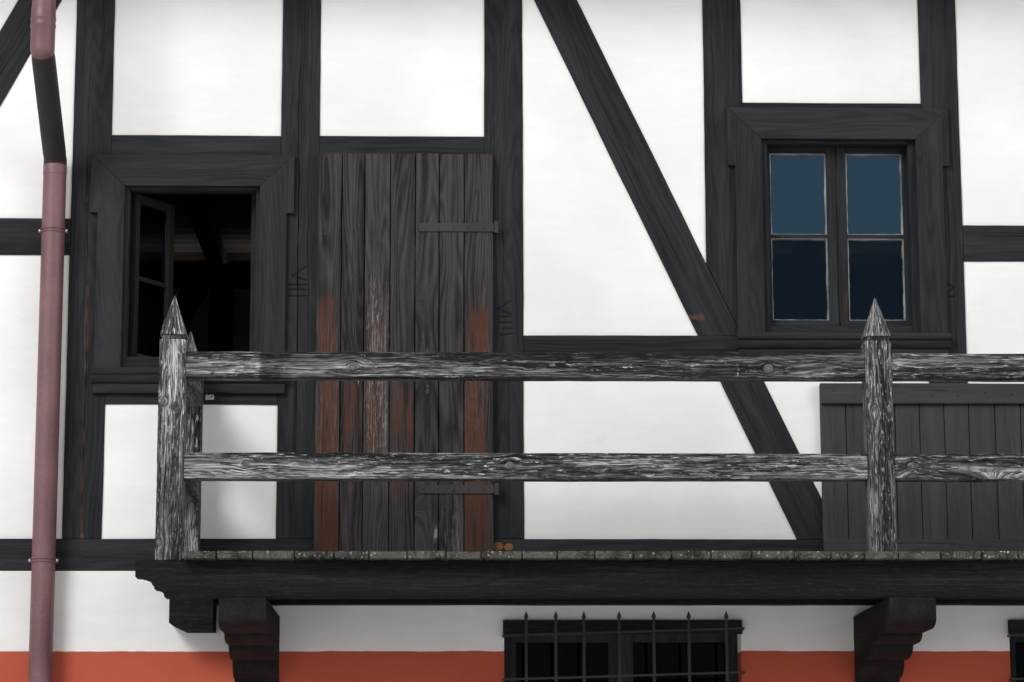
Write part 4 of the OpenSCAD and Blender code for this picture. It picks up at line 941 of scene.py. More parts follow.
# %% Dressed copies of CAD timbers
def dress_mesh(pile, bm, rng, seed, cut=0.25, edge=0.006, hew=0.002, axis=None, segments=1,
               tones=(0.25, 0.75), **look):
    """Cuts, bevels and sways a mesh, and adds each of its solids to the pile."""
    bmesh.ops.remove_doubles(bm, verts=bm.verts, dist=1e-5)
    bmesh.ops.dissolve_limit(bm, angle_limit=0.01, verts=bm.verts, edges=bm.edges)
    low, high = (f([v.co for v in bm.verts], axis=0) for f in (np.min, np.max))
    for k in range(3):
        for place in np.arange(low[k] + cut, high[k], cut):
            normal = [float(i == k) for i in range(3)]
            bmesh.ops.bisect_plane(bm, geom=bm.verts[:] + bm.edges[:] + bm.faces[:], dist=1e-5,
                                   plane_co=[place * n for n in normal], plane_no=normal)
    sharp = [e for e in bm.edges if len(e.link_faces) == 2 and e.calc_face_angle(0) > 0.5]
    bmesh.ops.bevel(bm, geom=sharp, offset=edge, segments=segments, profile=0.6, affect="EDGES",
                    clamp_overlap=True)
    bm.verts.index_update()
    bm.normal_update()
    seen = set()
    for start in bm.verts:
        if start.index in seen:
            continue
        island, stack = [], [start]
        seen.add(start.index)
        while stack:
            v = stack.pop()
            island.append(v)
            for e in v.link_edges:
                o = e.other_vert(v)
                if o.index not in seen:
                    seen.add(o.index)
                    stack.append(o)
        points = np.array([v.co for v in island])
        normals = np.array([v.normal for v in island])
        if axis is None:
            along = np.linalg.svd(points - points.mean(0), full_matrices=False)[2][0]
        else:
            along = np.array({"x": (1, 0, 0), "y": (0, 1, 0), "z": (0, 0, 1)}[axis], float)
        side = np.cross(along, (0.0, 1, 0) if abs(along[1]) < 0.9 else (1.0, 0, 0))
        side /= np.linalg.norm(side)
        grain = points @ np.stack([along, side, np.cross(along, side)], 1) + rng.uniform(-40, 40, 3)
        sway = hew * ripple(seed, *(points / 0.35).T) + 0.4 * hew * ripple(seed + 1, *(points / 0.08).T)
        index = {v.index: k for k, v in enumerate(island)}
        faces = {f for v in island for f in v.link_faces}
        moved = points - normals * (np.abs(sway) + 0.0003)[:, None]
        pile.add(moved, [tuple(index[v.index] for v in f.verts) for f in faces], grain,
                 tone=rng.uniform(*tones), **look)
    bm.free()


def dress(nodes, name, material, slot, seed, *how, **more):
    pile = Pile()
    rng = np.random.default_rng(seed)
    for node in nodes:
        bm = bmesh.new()
        bm.from_mesh(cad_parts[node].data)
        dress_mesh(pile, bm, rng, seed, *how, **more)
    return pile.build(name, [material], slot, nodes)


def plate(pile, outline, y0, y1, seed, axis, **how):
    """A flat board cut to an outline in the wall plane, between two depths."""
    bm = bmesh.new()
    face = bm.faces.new([bm.verts.new((x, y0, z)) for x, z in outline])
    new = bmesh.ops.extrude_face_region(bm, geom=[face])["geom"]
    for v in new:
        if isinstance(v, bmesh.types.BMVert):
            v.co.y = y1
    bmesh.ops.recalc_face_normals(bm, faces=bm.faces)
    dress_mesh(pile, bm, np.random.default_rng(seed), seed, axis=axis, **how)


# The beams and corbels take the tar material that also holds painted shade from under the deck.
dress(["balcony_beams"], "carved_balcony_beams", TAR_AND_PAINTED_SHADE, "dark_timber", 21, 0.12, 0.007, 0.003, "x", 2,
      bleached=0.06)
dress(["corbels"], "stepped_corbels", TAR_AND_PAINTED_SHADE, "dark_timber", 22, 0.07, 0.007, 0.003, "y", 2, bleached=0.05)
dress(["lintel_boards"], "ground_lintel_boards", CHARRED, "dark_timber", 23, 0.2, 0.003, 0.001)
dress(["rear_posts"], "hewn_rear_posts", CHARRED, "dark_timber", 24, 0.5, axis="z")
dress(["rear_rails"], "hewn_rear_rails", CHARRED, "dark_timber", 25, 0.5)
dress(["rear_braces"], "hewn_rear_braces", CHARRED, "dark_timber", 26, 0.5)
dress(["wall_plates"], "hewn_wall_plates", CHARRED, "dark_timber", 27, 0.6)
dress(["tie_beams"], "hewn_tie_beams", CHARRED, "dark_timber", 28, 0.8, axis="y")
dress(["rafters"], "hewn_rafters", CHARRED, "dark_timber", 29, 0.9)
dress(["collar_beams"], "hewn_collar_beams", INNER, "dark_timber", 30, 0.9)
dress(["purlins"], "hewn_purlins", CHARRED, "dark_timber", 31, 0.9, axis="x")
dress(["gable_timbers"], "hewn_gable_timbers", CHARRED, "dark_timber", 32, 0.5, axis="z")
dress(["roof_edge_boards"], "roof_edge_boards_sawn", CHARRED, "dark_timber", 33, 0.6, 0.004)
dress(["ground_window_frames"], "ground_casements", CHARRED, "dark_timber", 34, 0.4, 0.004, 0.0008, "z")
dress(["entrance_frame"], "entrance_door_frame", CHARRED, "dark_timber", 35, 0.4, 0.006, axis="z")
dress(["floor_joists"], "sawn_floor_joists", INNER, "plain_timber", 36, 1.2, axis="y")


# %% [markdown]
# Doors, screens, floors and the deck are rows of boards with small gaps between
# them. Widths vary, every board gets its own tone, and its ends don't quite line up.

# %% Rows of boards
def boards(pile, lo, hi, across, joints, seed, gap=0.003, uneven=0.003, axis="z", fine=0.02, step=0.2,
           **look):
    """Boards between the joints, which are places along the across axis of the box."""
    rng = np.random.default_rng(seed)
    k = {"x": 0, "y": 1, "z": 2}[across]
    for number, (start, stop) in enumerate(zip(joints[:-1], joints[1:])):
        low, high = np.array(lo, float), np.array(hi, float)
        low[k], high[k] = start + gap / 2, stop - gap / 2
        j = {"z": 2, "y": 1, "x": 0, "X": 0}[axis]
        low[j] += uneven * rng.uniform(0, 1)
        high[j] -= uneven * rng.uniform(0, 1)
        each = {key: value(number) if callable(value) else value for key, value in look.items()}
        bar(pile, low, high, axis, seed + 10 * number, fine=fine, step=step, **each)


def even_joints(start, stop, width, seed, spread=0.12):
    """Joints between start and stop with boards of about one width."""
    rng = np.random.default_rng(seed)
    widths = rng.uniform(1 - spread, 1 + spread, max(1, round((stop - start) / width)))
    return start + np.concatenate([[0], np.cumsum(widths)]) / widths.sum() * (stop - start)


# %% Balcony door
LEDGE_IN, LEDGE_T = 0.035, 0.030
d_lo, d_hi = (np.array(c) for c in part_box("balcony_door"))
leaf_lo, leaf_hi = d_lo, np.array([d_hi[0], FACE, d_hi[2]])
door_joints = np.array([leaf_lo[0], -2.427, -2.315, -2.189, -2.067, -1.950, -1.828, leaf_hi[0]])
# Worn and bleached stretches of each board from the left: strength, start, end. They stop
# below the top, so the upper door keeps its dark base colour as painted shade from the eaves.
WEAR_BELOW_PAINTED_SHADE = [(1.10, -0.2, 1.48), (1.0, 0.3, 1.12), (0.85, 0.35, 1.4), (1.0, 0.2, 1.12), (0.5, -0.2, 0.4),
        (0.15, 0.3, 1.2), (1.10, -0.2, 1.48)]
BLEACH_BELOW_PAINTED_SHADE = [(0.25, 0.3, 1.3), (0.05, 0.3, 1.0), (1.15, 0.35, 1.5), (0.05, 0.2, 1.2), (0.45, 0.75, 1.2),
          (0.8, -0.2, 0.35), (0.2, 0.2, 1.3)]
DOOR_SPLITS = {0: [(0.10, 0.85, 0.035, 0.0022, 0.006)], 2: [(1.05, 1.6, 0.09, 0.0018, 0.004)],
               5: [(0.15, 0.7, 0.07, 0.0022, 0.006)]}


def patch(amount, start, stop, seed):
    """Strength of a finish along a board, fading at both ends."""
    def field(u, v):
        fade = np.clip((u - start) / 0.25, 0, 1) * np.clip((stop - u) / 0.25, 0, 1)
        core = np.clip(1.8 - np.abs(v - 0.06) / 0.045, 0.35, 1)
        return amount * fade * core * (0.75 + 0.35 * ripple(seed, u / 0.12, v / 0.015))
    return field


CHIPS = {1: (0.95, 0.084, 0.052, 0.006), 4: (0.165, 0.103, 0.036, 0.008)}


def faded(number):
    """Greyed streaks of a door board, and a raw pale splinter where it has one."""
    base = patch(*BLEACH_BELOW_PAINTED_SHADE[number], 560 + number)
    if number not in CHIPS:
        return base
    at, across, long, wide = CHIPS[number]
    return lambda u, v: np.where(((u - at) / long) ** 2 + ((v - across) / wide) ** 2 < 1, 1.9, base(u, v))


door_pile = Pile()
boards(door_pile, leaf_lo, leaf_hi, "x", door_joints, 500, gap=0.0045, uneven=0.006, fine=0.006,
       step=0.03, edge=0.004, hew=0.0012, tone=lambda n: (0.45, 0.35, 0.55, 0.4, 0.6, 0.5, 0.4)[n],
       checks=lambda n: DOOR_SPLITS.get(n, []) + drying_checks(520 + n, 2.05, 0.12, 1.6, 0.8, 0.003),
       arches=lambda n: {4: [(1.03, 0.059), (0.55, 0.059)]}.get(n, ()),
       worn=lambda n: patch(*WEAR_BELOW_PAINTED_SHADE[n], 540 + n), bleached=faded)
for low in (leaf_lo[2] + 0.240, leaf_hi[2] - 0.460):
    bar(door_pile, (leaf_lo[0] + LEDGE_IN, FACE, low),
        (leaf_hi[0] - LEDGE_IN - 0.019, FACE + LEDGE_T, low + 0.12), "x", 590)
door_pile.build("balcony_door_boards", [BOARDS], "door_wood", ["balcony_door"])

# %% Entrance door, floor and loft boards
entrance = Pile()
e_lo, e_hi = (np.array(c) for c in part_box("entrance_door"))
boards(entrance, e_lo, e_hi, "x", even_joints(e_lo[0], e_hi[0], 0.14, 5), 600, gap=0.004, edge=0.005)
entrance.build("entrance_door_boards", [BOARDS], "door_wood", ["entrance_door"])
floors = Pile()
for node, seed in (("floor_boards", 610), ("loft_boards", 700)):
    f_lo, f_hi = (np.array(c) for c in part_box(node))
    boards(floors, f_lo, f_hi, "y", even_joints(f_lo[1], f_hi[1], 0.19, seed), seed, gap=0.003, axis="X",
           fine=0.2, coarse=0.2, step=12, edge=0.002)
floors.build("floor_and_loft_boards", [INNER], "plain_timber", ["floor_boards", "loft_boards"])

# %% Boarded screen
screen = Pile()
s_lo, s_hi = (np.array(c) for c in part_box("boarded_screen"))
front_of_boards = FACE - 0.026
screen_joints = [s_lo[0], 0.028, 0.145, 0.268, 0.388, 0.508, 0.628, 0.757]
screen_joints = np.array(screen_joints + list(even_joints(0.757, s_hi[0], 0.121, 9)[1:]))
boards(screen, (s_lo[0], front_of_boards, s_lo[2]), (s_hi[0], FACE, s_hi[2]), "x", screen_joints, 800,
       gap=0.0035, fine=0.007, step=0.04, edge=0.003, hew=0.001,
       tone=lambda n: (0.5, 0.42, 0.45, 0.5, 0.62, 0.55, 0.4, 0.5)[n % 8],
       checks=lambda n: drying_checks(820 + n, 0.93, 0.12, 1.2, 0.6, 0.003),
       knots=lambda n: [(0.2 + 0.37 * (n % 3), 0.035 + 0.02 * (n % 4), 0.006)] if n % 2 else (),
       worn=lambda n: patch((0.1, 0.15, 0.1, 0.1, 0.42, 0.2, 0.1, 0.2)[n % 8], 0.0, 1.1, 840 + n))
for z0 in (s_lo[2] + 0.070, s_hi[2] - 0.100):
    bar(screen, (s_lo[0], s_lo[1], z0), (s_hi[0], front_of_boards, z0 + 0.100), "x", 880 + int(z0),
        fine=0.008, step=0.05, edge=0.004, checks=drying_checks(890, 1.8, 0.1, 1.5, 0.6, 0.003), tone=0.45)
screen.build("boarded_screen_boards", [SCREEN], "door_wood", ["boarded_screen"])

# %% [markdown]
# The railing has stood in the weather for decades: the soft wood between the rings
# is eroded, the arrises are rounded, splits run far, and knots stand proud. Each
# post ends in a groove and a pyramid.

# %% Railing
def tapered(pile, lo, hi, top_scale, seed, **look):
    """A bar whose section shrinks towards its top, for a pyramid."""
    before = len(pile.points)
    bar(pile, lo, hi, "z", seed, **look)
    points = pile.points[before]
    share = (points[:, 2] - lo[2]) / (hi[2] - lo[2])
    centre = (np.array(lo[:2]) + np.array(hi[:2])) / 2
    points[:, :2] = centre + (points[:, :2] - centre) * (1 + (top_scale - 1) * share)[:, None]


railing = Pile()
CAP, NECK, INSET = 0.187, 0.022, 0.009
POST_KNOTS = {0: [(0.709, 0.020, 0.015), (0.684, 0.078, 0.015), (0.079, 0.016, 0.012)],
              1: [(0.651, 0.035, 0.013), (0.640, 0.104, 0.011)]}
rail_posts = solids("railing_posts")
fronts = [p for p in rail_posts if p[:, 1].min() < FACE - 0.9]
for number, post in enumerate(fronts + [p for p in rail_posts if p[:, 1].min() > FACE - 0.9]):
    lo, hi = post.min(0), post.max(0)
    shaft = hi[2] - CAP - NECK
    look = dict(erode=0.0016, hew=0.0018)
    knots = POST_KNOTS.get(number, ())
    bar(railing, lo, (hi[0], hi[1], shaft), "z", 900 + number, fine=0.006, coarse=0.012, step=0.018,
        edge=0.007, knots=knots, checks=drying_checks(910 + number, 1.0, 0.125, 4, 0.9, 0.007), tone=0.40,
        bleached=lambda u, v: 0.35 + 0.6 * np.clip((u - 0.45) / 0.3, 0, 1), **look)
    bar(railing, (lo[0] + INSET, lo[1] + INSET, shaft - 0.002),
        (hi[0] - INSET, hi[1] - INSET, hi[2] - CAP + 0.002), "z", 920 + number, fine=0.02, step=0.01,
        tone=0.2)
    tapered(railing, (lo[0], lo[1], hi[2] - CAP), hi, 0.04, 930 + number, fine=0.007, coarse=0.012,
            step=0.012, edge=0.004, checks=drying_checks(940 + number, 0.18, 0.125, 12, 0.3, 0.004),
            tone=0.62, bleached=1.0, chamfer=0.002, **look)
railing.build("weathered_railing_posts", [SILVERED], "weathered_timber", ["railing_posts"])

rail_pile = Pile()
RAIL_KNOTS = {(0, 1): [(0.745, 0.050, 0.019), (2.606, 0.045, 0.019)],
              (0, 0): [(0.273, 0.060, 0.014), (1.445, 0.060, 0.014)],
              (1, 0): [(0.080, 0.055, 0.020)], (1, 1): [(1.4, 0.060, 0.016)]}
RAIL_SPLITS = {(0, 1): [(2.69, 2.94, 0.064, 0.0016, 0.008)],
               (0, 0): [(2.35, 3.03, 0.065, 0.0018, 0.010), (0.16, 0.29, 0.065, 0.0015, 0.008)]}
FLAKY, GREEN = (0.08, 0.33), (0.332, 0.47)


def damp(key, u, v):
    """Green patch of the upper left rail, with a clean edge on its left and a ragged one on its right."""
    ragged = GREEN[1] + 0.035 * ripple(985, u / 0.03, v / 0.010)
    return (key == (0, 1)) * np.clip((u - GREEN[0]) / 0.012, 0, 1) * np.clip((ragged - u) / 0.05, 0, 1)


def mossy_top(u, v):
    """Darker upper part of that rail, right of its flaky patch, with a wavy lower edge."""
    edge = 0.074 + 0.016 * ripple(986, u / 0.16)
    return np.clip((u - GREEN[0]) / 0.02, 0, 1) * np.clip((v - edge) / 0.012, 0, 1)


def stain(key):
    """Tone of a rail: darker along its wet top edge, and at the green patch of the upper left one."""
    def field(u, v):
        tone = 0.46 - 0.3 * np.clip((v - 0.098) / 0.012, 0, 1)
        if key == (0, 1):
            tone = tone - 0.12 - 0.16 * mossy_top(u, v)
        return tone - 0.45 * damp(key, u, v)
    return field


def silvering(number, key):
    """Whitish flakes along a rail, with one bare patch on the upper left one."""
    def field(u, v):
        pale = (0.50 if key[1] else 0.66) + 0.6 * ripple(970 + number, u / 0.14, v / 0.012)
        if key == (0, 1):
            flaky = np.clip((u - FLAKY[0]) / 0.04, 0, 1) * np.clip((FLAKY[1] - u) / 0.02, 0, 1)
            pale = pale - 0.15 + 0.5 * flaky - 1.5 * damp(key, u, v) - 0.7 * mossy_top(u, v)
        return np.clip(pale, 0, 1)
    return field


for number, solid in enumerate(solids("railing_rails")):
    lo, hi = solid.min(0), solid.max(0)
    length = max(hi - lo)
    if hi[0] - lo[0] > 1:
        key = (int(lo[0] > 0), int(lo[2] > 3.3))
        bar(rail_pile, lo, hi, "x", 950 + number, fine=0.005, coarse=0.012, step=0.016, edge=0.008,
            erode=0.0018, hew=0.002, knots=RAIL_KNOTS.get(key, ()), tone=stain(key),
            bleached=silvering(number, key), arches=[(0.17, 0.055)] if key == (1, 0) else (),
            checks=RAIL_SPLITS.get(key, []) + drying_checks(960 + number, length, 0.117, 2.5, 1.3, 0.008))
    else:
        bar(rail_pile, lo, hi, "y", 950 + number, fine=0.012, coarse=0.02, step=0.04, edge=0.008,
            erode=0.0015, tone=0.45, bleached=0.4)
rail_pile.build("weathered_railing_rails", [SILVERED], "weathered_timber", ["railing_rails"])

# %% Deck planks
deck = Pile()
d_lo, d_hi = (np.array(c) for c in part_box("balcony_deck"))
known = [-0.222, -0.072, 0.077, 0.265]
left_joints, right_joints = even_joints(d_lo[0], known[0], 0.172, 3), even_joints(known[3], d_hi[0], 0.172, 4)
deck_joints = np.concatenate([left_joints, known[1:3], right_joints])
rng = np.random.default_rng(77)
for number, (start, stop) in enumerate(zip(deck_joints[:-1], deck_joints[1:])):
    drop, short = rng.uniform(0, 0.004), rng.uniform(0, 0.012)
    bar(deck, (start + 0.003, d_lo[1] + short, d_lo[2]), (stop - 0.003, d_hi[1], d_hi[2] - drop), "y",
        1000 + 7 * number,
        fine=0.012, coarse=0.012, step=0.05, edge=0.003, erode=0.0012, hew=0.0012, chamfer=0.002,
        checks=drying_checks(1001 + number, 1.14, 0.16, 2, 0.8, 0.004))
deck.build("mossy_balcony_planks", [DECKING], "weathered_timber", ["balcony_deck"])

# %% [markdown]
# A window here is: flat boards round the opening with small ears at the head, a
# moulded sill on an apron, a frame with a stepped lip, and two casements of two
# panes each, puttied from outside. One function builds it in its own frame, with
# the wall face at y = 0, and a matrix stands it in any wall.

# %% Windows
def tube_faces(rings, n):
    """Faces between neighbouring rings of n points."""
    return [(k * n + i, k * n + (i + 1) % n, (k + 1) * n + (i + 1) % n, (k + 1) * n + i)
            for k in range(rings - 1) for i in range(n)]


def closed_tube(rings, n):
    """Faces of a tube of rings with both ends closed."""
    total = rings * n
    return tube_faces(rings, n) + [tuple(range(n)), tuple(range(total - 1, total - n - 1, -1))]


def prism(pile, profile, x0, x1, seed, cuts=6, tone=0.5):
    """Runs a y-z profile along x, with slightly swaying sections."""
    profile = np.array(profile, float)
    rings = []
    for x in np.linspace(x0, x1, cuts):
        sway = 0.0006 * ripple(seed, x / 0.3, profile[:, 0] * 9, profile[:, 1] * 9)
        rings.append(np.column_stack([np.full(len(profile), x), profile[:, 0] + sway, profile[:, 1] + sway]))
    points = np.concatenate(rings)
    pile.add(points, closed_tube(cuts, len(profile)), points + seed * 0.37, tone=tone)


def rounded_profile(corners, radius, points=3):
    """A closed profile with each corner replaced by a small arc."""
    corners = np.array(corners, float)
    made = []
    for k, corner in enumerate(corners):
        before, after = corners[k - 1] - corner, corners[(k + 1) % len(corners)] - corner
        reach = min(radius, 0.45 * np.linalg.norm(before), 0.45 * np.linalg.norm(after))
        a = corner + before / np.linalg.norm(before) * reach
        b = corner + after / np.linalg.norm(after) * reach
        for t in np.linspace(0, 1, points):
            made.append((1 - t) ** 2 * a + 2 * t * (1 - t) * corner + t ** 2 * b)
    return np.array(made)


# Sill profile in shares of its reach and height, then the sizes of boards, sill, frame and leaf.
SILL = [(0, 0), (1, 0), (1.06, 0.12), (1.06, 0.32), (0.97, 0.44), (0.81, 0.5), (0.81, 0.62), (0.71, 0.8),
        (0.52, 1), (0, 1)]
SILL_OUT, SILL_H, APRON_FOOT = 0.062, 0.073, 0.122
BOARD, THICK, EAR, EAR_DROP, HEAD, SASH = 0.132, 0.026, 0.036, 0.136, 0.160, 0.042
SET_BACK, LIP, FRAME_BACK, OVERLAP = 0.014, 0.076, 0.134, 0.012
HINGE, MEET, LOW_RAIL, TOP_RAIL = 0.034, 0.050, 0.054, 0.044
window_piles = {name: Pile() for name in ("surrounds", "frames", "sashes", "putty")}


def casement(place, width, height, seed, worn=0.0, puttied=True):
    """One leaf from its hinge edge at x = 0, outside at y = 0, foot at z = 0."""
    leaf, putty = window_piles["sashes"], window_piles["putty"]
    leaf.place = putty.place = place
    look = dict(fine=0.012, coarse=0.02, step=0.08, edge=0.003, hew=0.0006)
    middle, half_bar = height * 0.505, 0.011
    glass_end = width - MEET

    # Real wear along the meeting stile; its step down to 0.55 above the lowest 0.24 m is painted shade from
    # the eaves.
    def rubbed(u, v):
        strip = worn * np.where(u < 0.24, 1.0, 0.55) * (np.abs(v - 0.020) < 0.016)
        return strip * np.clip((0.7 - u) / 0.2, 0, 1)

    bar(leaf, (0, 0, 0), (HINGE, SASH, height), "z", seed, **look)
    bar(leaf, (glass_end, 0, 0), (width, SASH, height), "z", seed + 1, worn=rubbed, **{**look, "fine": 0.006})
    bar(leaf, (HINGE, 0, 0), (glass_end, SASH, LOW_RAIL), "x", seed + 2, **look)
    bar(leaf, (HINGE, 0, height - TOP_RAIL), (glass_end, SASH, height), "x", seed + 3, **look)
    bar(leaf, (HINGE, 0.004, middle - half_bar), (glass_end, SASH - 0.004, middle + half_bar), "x", seed + 4,
        **look)
    drip = [(0, 0.046), (-0.010, 0.045), (-0.024, 0.034), (-0.026, 0.022), (-0.020, 0.020), (-0.018, 0.026),
            (0, 0.030)]
    prism(leaf, drip, 0.012, width - 0.004, seed + 5, tone=0.6)
    x0, x1, deep = HINGE, glass_end, SASH / 2 - 0.002
    for z0, z1 in ((LOW_RAIL, middle - half_bar), (middle + half_bar, height - TOP_RAIL)) if puttied else ():
        for corner, along, length, out in (((x0, z0), "z", z1 - z0, 1), ((x1, z0), "z", z1 - z0, -1),
                                           ((x0, z0), "x", x1 - x0, 1), ((x0, z1), "x", x1 - x0, -1)):
            steps = max(3, int(length / 0.02))
            t = np.linspace(0, 1, steps)
            wide = 0.0058 + 0.0022 * ripple(seed + int(corner[0] * 999) + out, t * length / 0.03)
            lie = 0.0012 + 0.001 * ripple(seed + 3, t * length / 0.05)
            zero = np.zeros(steps)
            rows = []
            ring = ((zero, zero + deep), (wide * out, zero + deep), (zero + 0.002 * out, lie), (zero, lie))
            for across, y in ring:
                if along == "z":
                    rows.append(np.column_stack([corner[0] + across, y, corner[1] + t * length]))
                else:
                    rows.append(np.column_stack([corner[0] + t * length, y, corner[1] + across]))
            putty.add(np.stack(rows, 1).reshape(-1, 3), closed_tube(steps, 4), tone=0.5)


def window(place, clear, sill, head, hole, seed, opened=False, worn=0.0):
    """Builds one window; the hole is (left, right, rail top, lintel underside) round the middle."""
    half = clear / 2
    boards_pile, frame_pile = window_piles["surrounds"], window_piles["frames"]
    boards_pile.place = frame_pile.place = place
    look = dict(fine=0.012, coarse=0.02, step=0.05, edge=0.004, hew=0.0012)
    ear, outside = half + BOARD + EAR, half + BOARD
    flat = dict(cut=0.12, edge=0.0008, hew=0.0012, tones=(0.55, 0.75))
    for side in (-1, 1):
        outline = [(half, sill), (outside, sill), (outside, head - EAR_DROP), (ear, head - EAR_DROP),
                   (ear, head + HEAD), (half, head)]
        plate(boards_pile, [(side * x, z) for x, z in outline], -THICK, 0, seed + side, "z", **flat)
    outline = [(-half, head), (half, head), (ear, head + HEAD), (-ear, head + HEAD)]
    plate(boards_pile, outline, -THICK, 0, seed + 5, "x", **flat)
    reach = half + BOARD + 0.008
    profile = rounded_profile([(-SILL_OUT * a, sill - SILL_H * b) for a, b in SILL], 0.004)
    prism(boards_pile, profile, -reach, reach, seed + 6, cuts=16, tone=0.6)
    bar(boards_pile, (-reach + 0.006, -THICK, sill - APRON_FOOT), (reach - 0.006, 0, sill - SILL_H), "x",
        seed + 7, **look)
    bare = half - (0.020 if clear < 0.7 else 0.032)
    left, right, low_hole, top_of_hole = hole
    foot, top = low_hole + 0.054, head - 0.015
    jamb = lambda u, v: opened * (0.42 + 0.3 * ripple(seed, u / 0.03, v / 0.006)) * (u < 0.44)
    foot_wear = lambda u, v: (
        opened * (0.40 + 0.35 * ripple(seed, u / 0.02, v / 0.01)) * (np.abs(u - 0.085) < 0.055))
    for y0, y1, back in ((SET_BACK, SET_BACK + LIP, 0.0), (SET_BACK + LIP, FRAME_BACK, 0.012)):
        in_left, in_right = -bare - back, bare + back
        bar(frame_pile, (left, y0, low_hole), (in_left, y1, top_of_hole), "z", seed + 10, worn=jamb, **look)
        bar(frame_pile, (in_right, y0, low_hole), (right, y1, top_of_hole), "z", seed + 11, **look)
        bar(frame_pile, (in_left, y0, low_hole), (in_right, y1, foot - back), "x", seed + 12, worn=foot_wear,
            **look)
        bar(frame_pile, (in_left, y0, top + back), (in_right, y1, top_of_hole), "x", seed + 13, **look)
    leaf_foot = foot - OVERLAP
    width, height = bare + OVERLAP - 0.001, top + OVERLAP - leaf_foot
    hinge_x, deep = width + 0.001, SET_BACK + LIP
    mirror = Matrix.Scale(-1, 4, (1, 0, 0))
    if opened:
        fold = Matrix.Translation((0, -SASH, 0))
        hinge = place @ Matrix.Translation((-hinge_x, deep + SASH, leaf_foot))
        turned_in = hinge @ Matrix.Rotation(math.radians(60), 4, "Z")
        casement(turned_in @ fold, width, height, seed + 20, puttied=False)
        hinge = place @ Matrix.Translation((hinge_x, deep + SASH, leaf_foot))
        turned_in = hinge @ Matrix.Rotation(math.radians(-90), 4, "Z")
        casement(turned_in @ mirror @ fold, width, height, seed + 30, puttied=False)
    else:
        casement(place @ Matrix.Translation((-hinge_x, deep, leaf_foot)), width, height, seed + 20)
        other = place @ Matrix.Translation((hinge_x, deep, leaf_foot)) @ mirror
        casement(other, width, height, seed + 30, worn=worn)


def local_box(matrix, solid):
    """Box of a solid in the frame of a window."""
    inverse = np.array(matrix.inverted())
    points = solid @ inverse[:3, :3].T + inverse[:3, 3]
    return points.min(0), points.max(0)


frame_solids = solids("window_frames") + solids("open_window_frame")
TURNS = {(0, -1): 0, (0, 1): 180, (1, -1): -90, (1, 1): 90}
for number, solid in enumerate(solids("window_surrounds")):
    lo, hi = solid.min(0), solid.max(0)
    along = 0 if hi[0] - lo[0] > hi[1] - lo[1] else 1
    centre = (lo + hi) / 2
    facing = int(np.sign(centre[1 - along]))
    place = np.array([centre[0], centre[1], 0])
    place[1 - along] = (lo if facing > 0 else hi)[1 - along]
    matrix = Matrix.Translation(place) @ Matrix.Rotation(math.radians(TURNS[(along, facing)]), 4, "Z")
    ring = min(frame_solids, key=lambda s: np.linalg.norm((s.min(0) + s.max(0)) / 2 - centre))
    low, high = local_box(matrix, ring)
    small, in_front = (hi - lo)[along] < 1.05, along == 0 and facing < 0
    clear = (hi - lo)[along] - 2 * (BOARD + EAR)
    window(matrix, clear, lo[2] + APRON_FOOT, hi[2] - HEAD, (low[0], high[0], low[2], high[2]),
           2000 + 60 * number, opened=small and in_front and centre[0] < 0,
           worn=0.62 if in_front and not small else 0.0)
for number, ring in enumerate(s for s in frame_solids if s[:, 2].min() > 7):
    lo, hi = ring.min(0), ring.max(0)
    middle_y = (lo[1] + hi[1]) / 2
    pile = window_piles["frames"]
    pile.place = Matrix.Identity(4)
    for y0, y1 in ((lo[1], lo[1] + 0.06), (middle_y - 0.06, middle_y + 0.06), (hi[1] - 0.06, hi[1])):
        bar(pile, (lo[0], y0, lo[2]), (hi[0], y1, hi[2]), "z", 3000 + number, fine=0.03)
    for y0, y1 in ((lo[1] + 0.06, middle_y - 0.06), (middle_y + 0.06, hi[1] - 0.06)):
        for z in (lo[2], hi[2] - 0.06):
            bar(pile, (lo[0], y0, z), (hi[0], y1, z + 0.06), "y", 3010 + number, fine=0.03)
window_piles["surrounds"].build("window_surround_boards", [CHARRED], "dark_timber", ["window_surrounds"])
window_piles["frames"].build(
    "window_frame_timbers", [CHARRED], "dark_timber", ["window_frames", "open_window_frame"])
window_piles["sashes"].build("casement_leaves", [CHARRED], "dark_timber", ["window_sashes"])
window_piles["putty"].build("window_putty", [PUTTY], "dark_timber")

# %% [markdown]
# Nails and hinges are small but they catch the light. At every ledge a door board
# has two hand-made nails and a screen board has one, and each strap has five. A thin
# plate with two holes, from some old fixture, still sits by the window.

# %% Nails and a bracket
def turned(pile, path, radii, skin=0, sides=20, tone=0.5):
    """A closed round body along a path, with one radius for each point of the path."""
    path = np.array(path, float)
    ahead = np.gradient(path, axis=0)
    ahead /= np.linalg.norm(ahead, axis=1)[:, None]
    up = np.where(np.abs(ahead[:, :1]) > 0.9, [[0.0, 0, 1]], [[1.0, 0, 0]])
    side = np.cross(ahead, up)
    side /= np.linalg.norm(side, axis=1)[:, None]
    other = np.cross(ahead, side)
    angle = np.linspace(0, 2 * math.pi, sides, endpoint=False)[None, :, None]
    radii = np.array(radii, float)[:, None, None]
    points = path[:, None] + radii * (np.cos(angle) * side[:, None] + np.sin(angle) * other[:, None])
    pile.add(points.reshape(-1, 3), closed_tube(len(path), sides), skin=skin, tone=tone)


def nail(pile, x, y, z, r, seed):
    """A domed nail head with a faceted, slightly uneven rim, on a face that looks towards -Y."""
    rng = np.random.default_rng(seed)
    path = [(x, y + 0.002, z), (x, y - 0.0008, z), (x, y - 0.0022, z), (x, y - 0.0030, z)]
    turned(pile, path, np.array([0.9, 1.0, 0.75, 0.25]) * r * rng.uniform(0.85, 1.15), sides=7)


